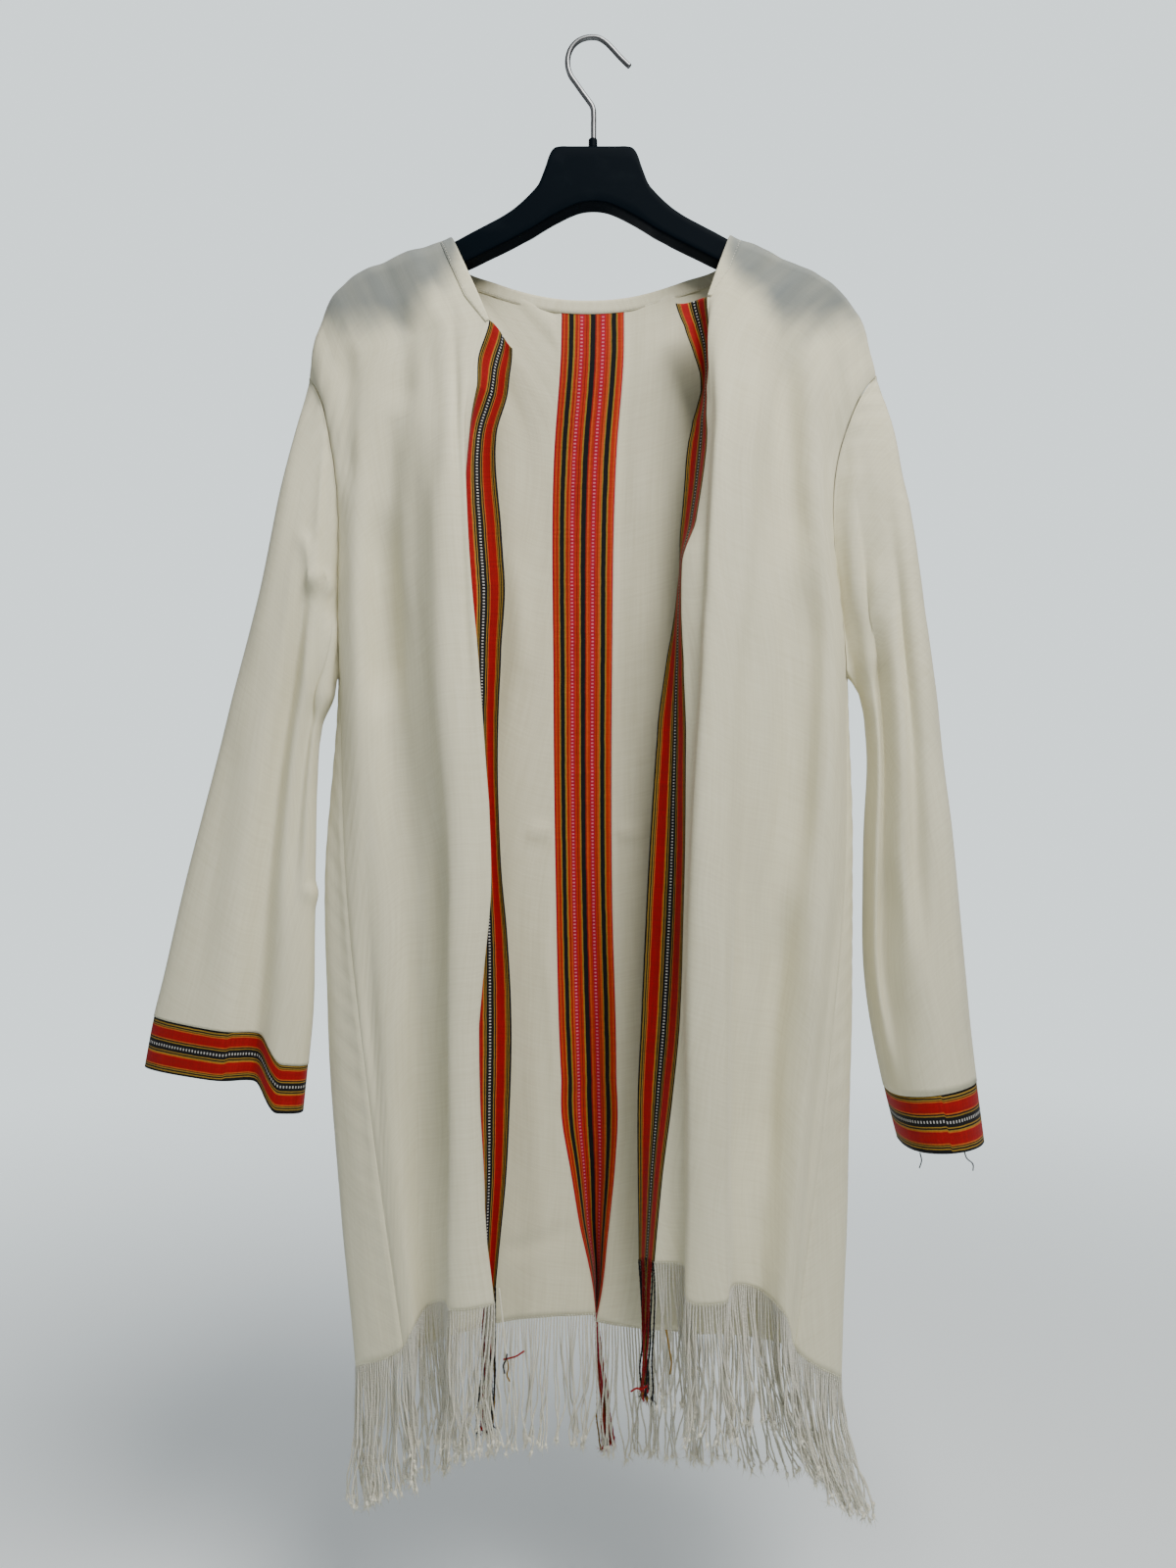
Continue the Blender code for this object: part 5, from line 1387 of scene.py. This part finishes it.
knot_points, knot_faces = [], []
for radius, height in KNOT_OUTLINE:
    for k in range(KNOT_SIDES):
        angle = 2 * math.pi * k / KNOT_SIDES + height * KNOT_TURN
        knot_points.append((radius * math.cos(angle), radius * KNOT_DEPTH * math.sin(angle), height))
for i in range(len(KNOT_OUTLINE) - 1):
    for k in range(KNOT_SIDES):
        a, b = i * KNOT_SIDES + k, i * KNOT_SIDES + (k + 1) % KNOT_SIDES
        knot_faces.append((a, a + KNOT_SIDES, b + KNOT_SIDES, b))
knot_faces.append(tuple(range(KNOT_SIDES)))
knot_faces.append(tuple(reversed(range(len(knot_points) - KNOT_SIDES, len(knot_points)))))
for k in range(TUFT_ENDS):
    angle = 2 * math.pi * k / TUFT_ENDS + TUFT_TURN
    lean = TUFT_LEAN + LEAN_VARIES * math.sin(LEAN_STEP * k + 1)
    first = len(knot_points)
    for corner in range(3):
        spoke = 2 * math.pi * corner / 3
        knot_points.append((TUFT_HALF * math.cos(spoke), TUFT_HALF * math.sin(spoke), TUFT_TOP))
    long = TUFT_LONG * (1 - TUFT_SHORTER + TUFT_SHORTER * math.cos(LENGTH_STEP * k))
    knot_points.append((
        long * math.sin(lean) * math.cos(angle),
        long * math.sin(lean) * math.sin(angle),
        TUFT_TOP - long * math.cos(lean),
    ))
    knot_faces += [(first, first + 1, first + 2), (first, first + 3, first + 1),
                   (first + 1, first + 3, first + 2), (first + 2, first + 3, first)]
knot_data = bpy.data.meshes.new("knot")
knot_data.from_pydata((np.array(knot_points) * MM).tolist(), [], knot_faces)
knot = bpy.data.objects.new("knot", knot_data)
bpy.context.scene.collection.objects.link(knot)


def named_field(tree, label):
    return add_node(tree, "GeometryNodeInputNamedAttribute", {"Name": label}).outputs["Attribute"]


def keep_field(tree, geometry, label, field):
    sources = {"Geometry": geometry, "Name": label, "Value": field}
    return add_node(tree, "GeometryNodeStoreNamedAttribute", sources).outputs["Geometry"]


def along_line(tree):
    """Each point's share of the way along its line."""
    return tree.nodes.new("GeometryNodeSplineParameter").outputs["Factor"]


def random_value(tree, low, high, seed, kind="FLOAT"):
    node = add_node(tree, "FunctionNodeRandomValue", {"Min": low, "Max": high, "Seed": seed}, data_type=kind)
    return next(socket for socket in node.outputs if socket.enabled)


fringing, given, result = geometry_tree(
    "knotted_fringe",
    [
        ("Spacing", "NodeSocketFloat"), ("Length", "NodeSocketFloat"), ("Thick", "NodeSocketFloat"),
        ("Sway", "NodeSocketFloat"), ("Gather", "NodeSocketFloat"), ("Centre", "NodeSocketVector"),
        ("Flare", "NodeSocketFloat"), ("Knot", "NodeSocketObject"), ("Seed", "NodeSocketInt"),
    ],
)
tree = fringing
# Points along the hem, each with its number and its share of the way, and a straight cord from each.
roots = add_node(tree, "GeometryNodeMeshToCurve", {"Mesh": given["Geometry"]})
roots = resample(tree, roots.outputs[0], "LENGTH", given["Spacing"])
roots = keep_field(tree, roots, "share", along_line(tree))
roots = keep_field(tree, roots, "strand", tree.nodes.new("GeometryNodeInputIndex").outputs[0])
cord = add_node(tree, "GeometryNodeCurvePrimitiveLine", {
    "End": combine(tree, 0.0, 0.0, math_node(tree, "MULTIPLY", given["Length"], -1.0)),
})
cord = resample(tree, cord.outputs[0], "COUNT", CORD_RINGS)
cord = keep_field(tree, cord, "down", along_line(tree))
cords = add_node(tree, "GeometryNodeInstanceOnPoints", {
    "Points": roots, "Instance": cord,
    "Scale": combine(tree, 1.0, 1.0, random_value(tree, SHORTEST_CORD, LONGEST_CORD, given["Seed"])),
})
cords = add_node(tree, "GeometryNodeRealizeInstances", {"Geometry": cords.outputs[0]}).outputs[0]
# How the points of each cord move: it drifts, leans with its neighbours, draws to a middle and flares.
down, strand = named_field(tree, "down"), named_field(tree, "strand")
offset = (0.0, 0.0, 0.0)
for drift in CORD_DRIFTS:
    place = combine(
        tree,
        math_node(tree, "MULTIPLY", strand, drift.apart),
        math_node(tree, "MULTIPLY", down, drift.waves),
        math_node(tree, "MULTIPLY", given["Seed"], SEED_STEP),
    )
    noise = add_node(tree, "ShaderNodeTexNoise", {"Vector": place, "Scale": 1.0, "Detail": 0.0})
    push = vector_math(tree, "SUBTRACT", noise.outputs["Color"], (0.5, 0.5, 0.5))
    push = vector_math(tree, "MULTIPLY", push, (SWAY_WIDE * drift.share, SWAY_DEEP * drift.share, 0.0))
    offset = vector_math(tree, "ADD", offset, push)
bunched = 0.0
for bunch in CORD_BUNCHES:
    seed_turn = math_node(tree, "MULTIPLY", given["Seed"], bunch.turn)
    angle = math_node(tree, "MULTIPLY_ADD", strand, 2 * math.pi / bunch.every, seed_turn)
    pull = math_node(tree, "MULTIPLY", math_node(tree, "SINE", angle), bunch.far * MM)
    bunched = math_node(tree, "ADD", bunched, pull)
bunched = math_node(tree, "MULTIPLY", bunched, math_node(tree, "POWER", down, BUNCH_POWER))
swung = math_node(tree, "MULTIPLY", given["Sway"], math_node(tree, "POWER", down, SWAY_POWER))
offset = vector_math(tree, "SCALE", offset, swung)
here = tree.nodes.new("GeometryNodeInputPosition").outputs[0]
inwards = vector_math(tree, "MULTIPLY", vector_math(tree, "SUBTRACT", given["Centre"], here), (1.0, 1.0, 0.0))
inwards = vector_math(tree, "SCALE", inwards, math_node(tree, "MULTIPLY", given["Gather"], down))
at_side = soft_step(tree, split_place(tree, here)[0], FLARE_FROM_M, FLARE_TO_M)
flare = math_node(tree, "MULTIPLY", given["Flare"], at_side)
flare = math_node(tree, "MULTIPLY", flare, math_node(tree, "POWER", down, FLARE_POWER))
inwards = vector_math(tree, "ADD", inwards, combine(tree, flare, 0.0, 0.0))
inwards = vector_math(tree, "ADD", inwards, combine(tree, bunched, 0.0, 0.0))
cords = add_node(tree, "GeometryNodeSetPosition", {
    "Geometry": cords, "Offset": vector_math(tree, "ADD", offset, inwards),
}).outputs[0]
# The twist, the section that is swept along each cord, and a knot with its tuft at each end.
own_turn = math_node(tree, "MULTIPLY", strand, CORD_STEP)
twist = math_node(tree, "MULTIPLY_ADD", down, 2 * math.pi * CORD_TURNS, own_turn)
cords = add_node(tree, "GeometryNodeSetCurveTilt", {"Curve": cords, "Tilt": twist}).outputs[0]
section = add_node(tree, "GeometryNodeCurvePrimitiveCircle", {"Resolution": 4, "Radius": 1.0})
section = add_node(tree, "GeometryNodeTransform", {
    "Geometry": section.outputs[0], "Scale": (1.0, CORD_FLATNESS, 1.0),
})
twisted = add_node(tree, "GeometryNodeCurveToMesh", {
    "Curve": cords, "Profile Curve": section.outputs[0], "Scale": given["Thick"], "Fill Caps": True,
})
last_point = add_node(tree, "GeometryNodeCurveEndpointSelection", {"Start Size": 0, "End Size": 1})
tips = (-KNOT_TIP, -KNOT_TIP, 0.0), (KNOT_TIP, KNOT_TIP, KNOT_SPIN)
knots = add_node(tree, "GeometryNodeInstanceOnPoints", {
    "Points": cords,
    "Selection": last_point.outputs[0],
    "Instance": add_node(tree, "GeometryNodeObjectInfo", {"Object": given["Knot"]}).outputs["Geometry"],
    "Rotation": random_value(tree, *tips, given["Seed"], "FLOAT_VECTOR"),
    "Scale": random_value(tree, KNOT_SMALLEST, KNOT_LARGEST, given["Seed"]),
})
both = tree.nodes.new("GeometryNodeJoinGeometry")
tree.links.new(twisted.outputs[0], both.inputs[0])
tree.links.new(knots.outputs[0], both.inputs[0])
finish_tree(tree, both.outputs[0], given["Material"], result["Geometry"])


def striped_threads(name, stripes):
    """Cords in a band's colours: each takes the stripe over its root."""
    material, tree, shader = new_material(name)
    share = tree.nodes.new("ShaderNodeAttribute")
    share.attribute_name = "share"
    spun_thread(tree, shader, stripe_colours(tree, share.outputs["Fac"], stripes), COLOURED_FUZZ)
    return material


red_threads = striped_threads("red_band_threads", EDGE_BAND_STRIPES)
orange_threads = striped_threads("orange_band_threads", BACK_BAND_STRIPES)
# A row for each fringe: its hem, its material and slot, its share of the sway, how far its cords draw
# together at their ends, as a share of the way to a middle, and how far right of the hem's middle that is.
Fringe = namedtuple("Fringe", "name material slot sway gather lean")
FRINGES = (
    Fringe("front_left", ivory_thread, "fringe_thread", 1.0, 0.05, 0),
    Fringe("front_right", ivory_thread, "fringe_thread", 1.0, 0.05, 0),
    Fringe("back_left", ivory_thread, "fringe_thread", 1.0, 0.03, 0),
    Fringe("back_right", ivory_thread, "fringe_thread", 1.0, 0.03, 0),
    Fringe("band_left", red_threads, "woven_band", 0.4, 0.62, 0),
    Fringe("band_right", red_threads, "woven_band", 0.5, 0.35, 0),
    Fringe("back_band", orange_threads, "woven_band", 0.6, 0.40, 34),
)
for seed, row in enumerate(FRINGES, 1):
    hem = hems[row.name]
    roots = hem.line + np.array((0, 0, ROOT_OVER))
    centre = roots.mean(axis=0) + (row.lean, 0, 0)
    fringe = grow(f"fringe_threads_{row.name}", [(roots, False)], fringing, {
        "Spacing": CORD_SPACING * MM,
        "Length": CORD_LENGTH * MM,
        "Thick": CORD_HALF * MM,
        "Sway": CORD_SWAY * row.sway * MM,
        "Gather": row.gather,
        "Flare": CORD_FLARE * MM,
        "Centre": [float(value) * MM for value in centre],
        "Knot": knot,
        "Seed": seed,
        "Material": row.material,
    })
    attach(fringe, "root")
    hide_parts(f"fringe_{row.name}")
bpy.data.objects.remove(knot)

# Loose threads: ends that have worked free. Two dark ones hang under the right cuff, a cream one with red,
# black and gold ends by the left band's fringe, and a gold and a red one by the right band's.
LOOSE_STEPS, LOOSE_SIDES, LOOSE_END = 24, 8, 0.6
Loose = namedtuple("Loose", "name colour half points")

LOOSE_THREADS = [
    Loose("dark_a", BLACK_THREAD, 0.5,
          [(269, -44, -941), (270, -45, -947), (268, -46, -953)]),
    Loose("dark_b", BLACK_THREAD, 0.5,
          [(305, -44, -937), (307, -45, -945), (312, -46, -950), (312, -46, -955)]),
    Loose("cream", THREAD_LIGHT, 0.7,
          [(-78, -36, -1056), (-75, -38, -1080), (-73, -39, -1100), (-71, -40, -1116)]),
    Loose("red", RED_THREAD, 0.7,
          [(-74, -40, -1113), (-70, -40, -1112), (-64, -41, -1110), (-57, -40, -1106)]),
    Loose("black", BLACK_THREAD, 0.6,
          [(-71, -41, -1108), (-72, -41, -1113), (-74, -41, -1117), (-73, -41, -1124)]),
    Loose("gold", GOLD_THREAD, 0.6,
          [(-71, -40, -1112), (-70, -40, -1120), (-71, -40, -1126), (-69, -40, -1131)]),
    Loose("gold_right", GOLD_THREAD, 0.7,
          [(60, -46, -1086), (62, -48, -1098), (64, -49, -1112), (63, -49, -1121)]),
    Loose("red_right", RED_THREAD, 0.8,
          [(44, -46, -1132), (40, -48, -1134), (36, -48, -1133), (31, -47, -1136)]),
]
for loose in LOOSE_THREADS:
    material, tree, shader = new_material(f"loose_thread_{loose.name}_yarn")
    node = tree.nodes.new("ShaderNodeRGB")
    node.outputs[0].default_value = loose.colour
    spun_thread(tree, shader, node.outputs[0], COLOURED_FUZZ)
    route = spline(loose.points, np.linspace(0, len(loose.points) - 1, LOOSE_STEPS))
    thread = tube(f"loose_thread_{loose.name}", route, loose.half, LOOSE_SIDES, material, (LOOSE_END,))
    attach(thread, "root")
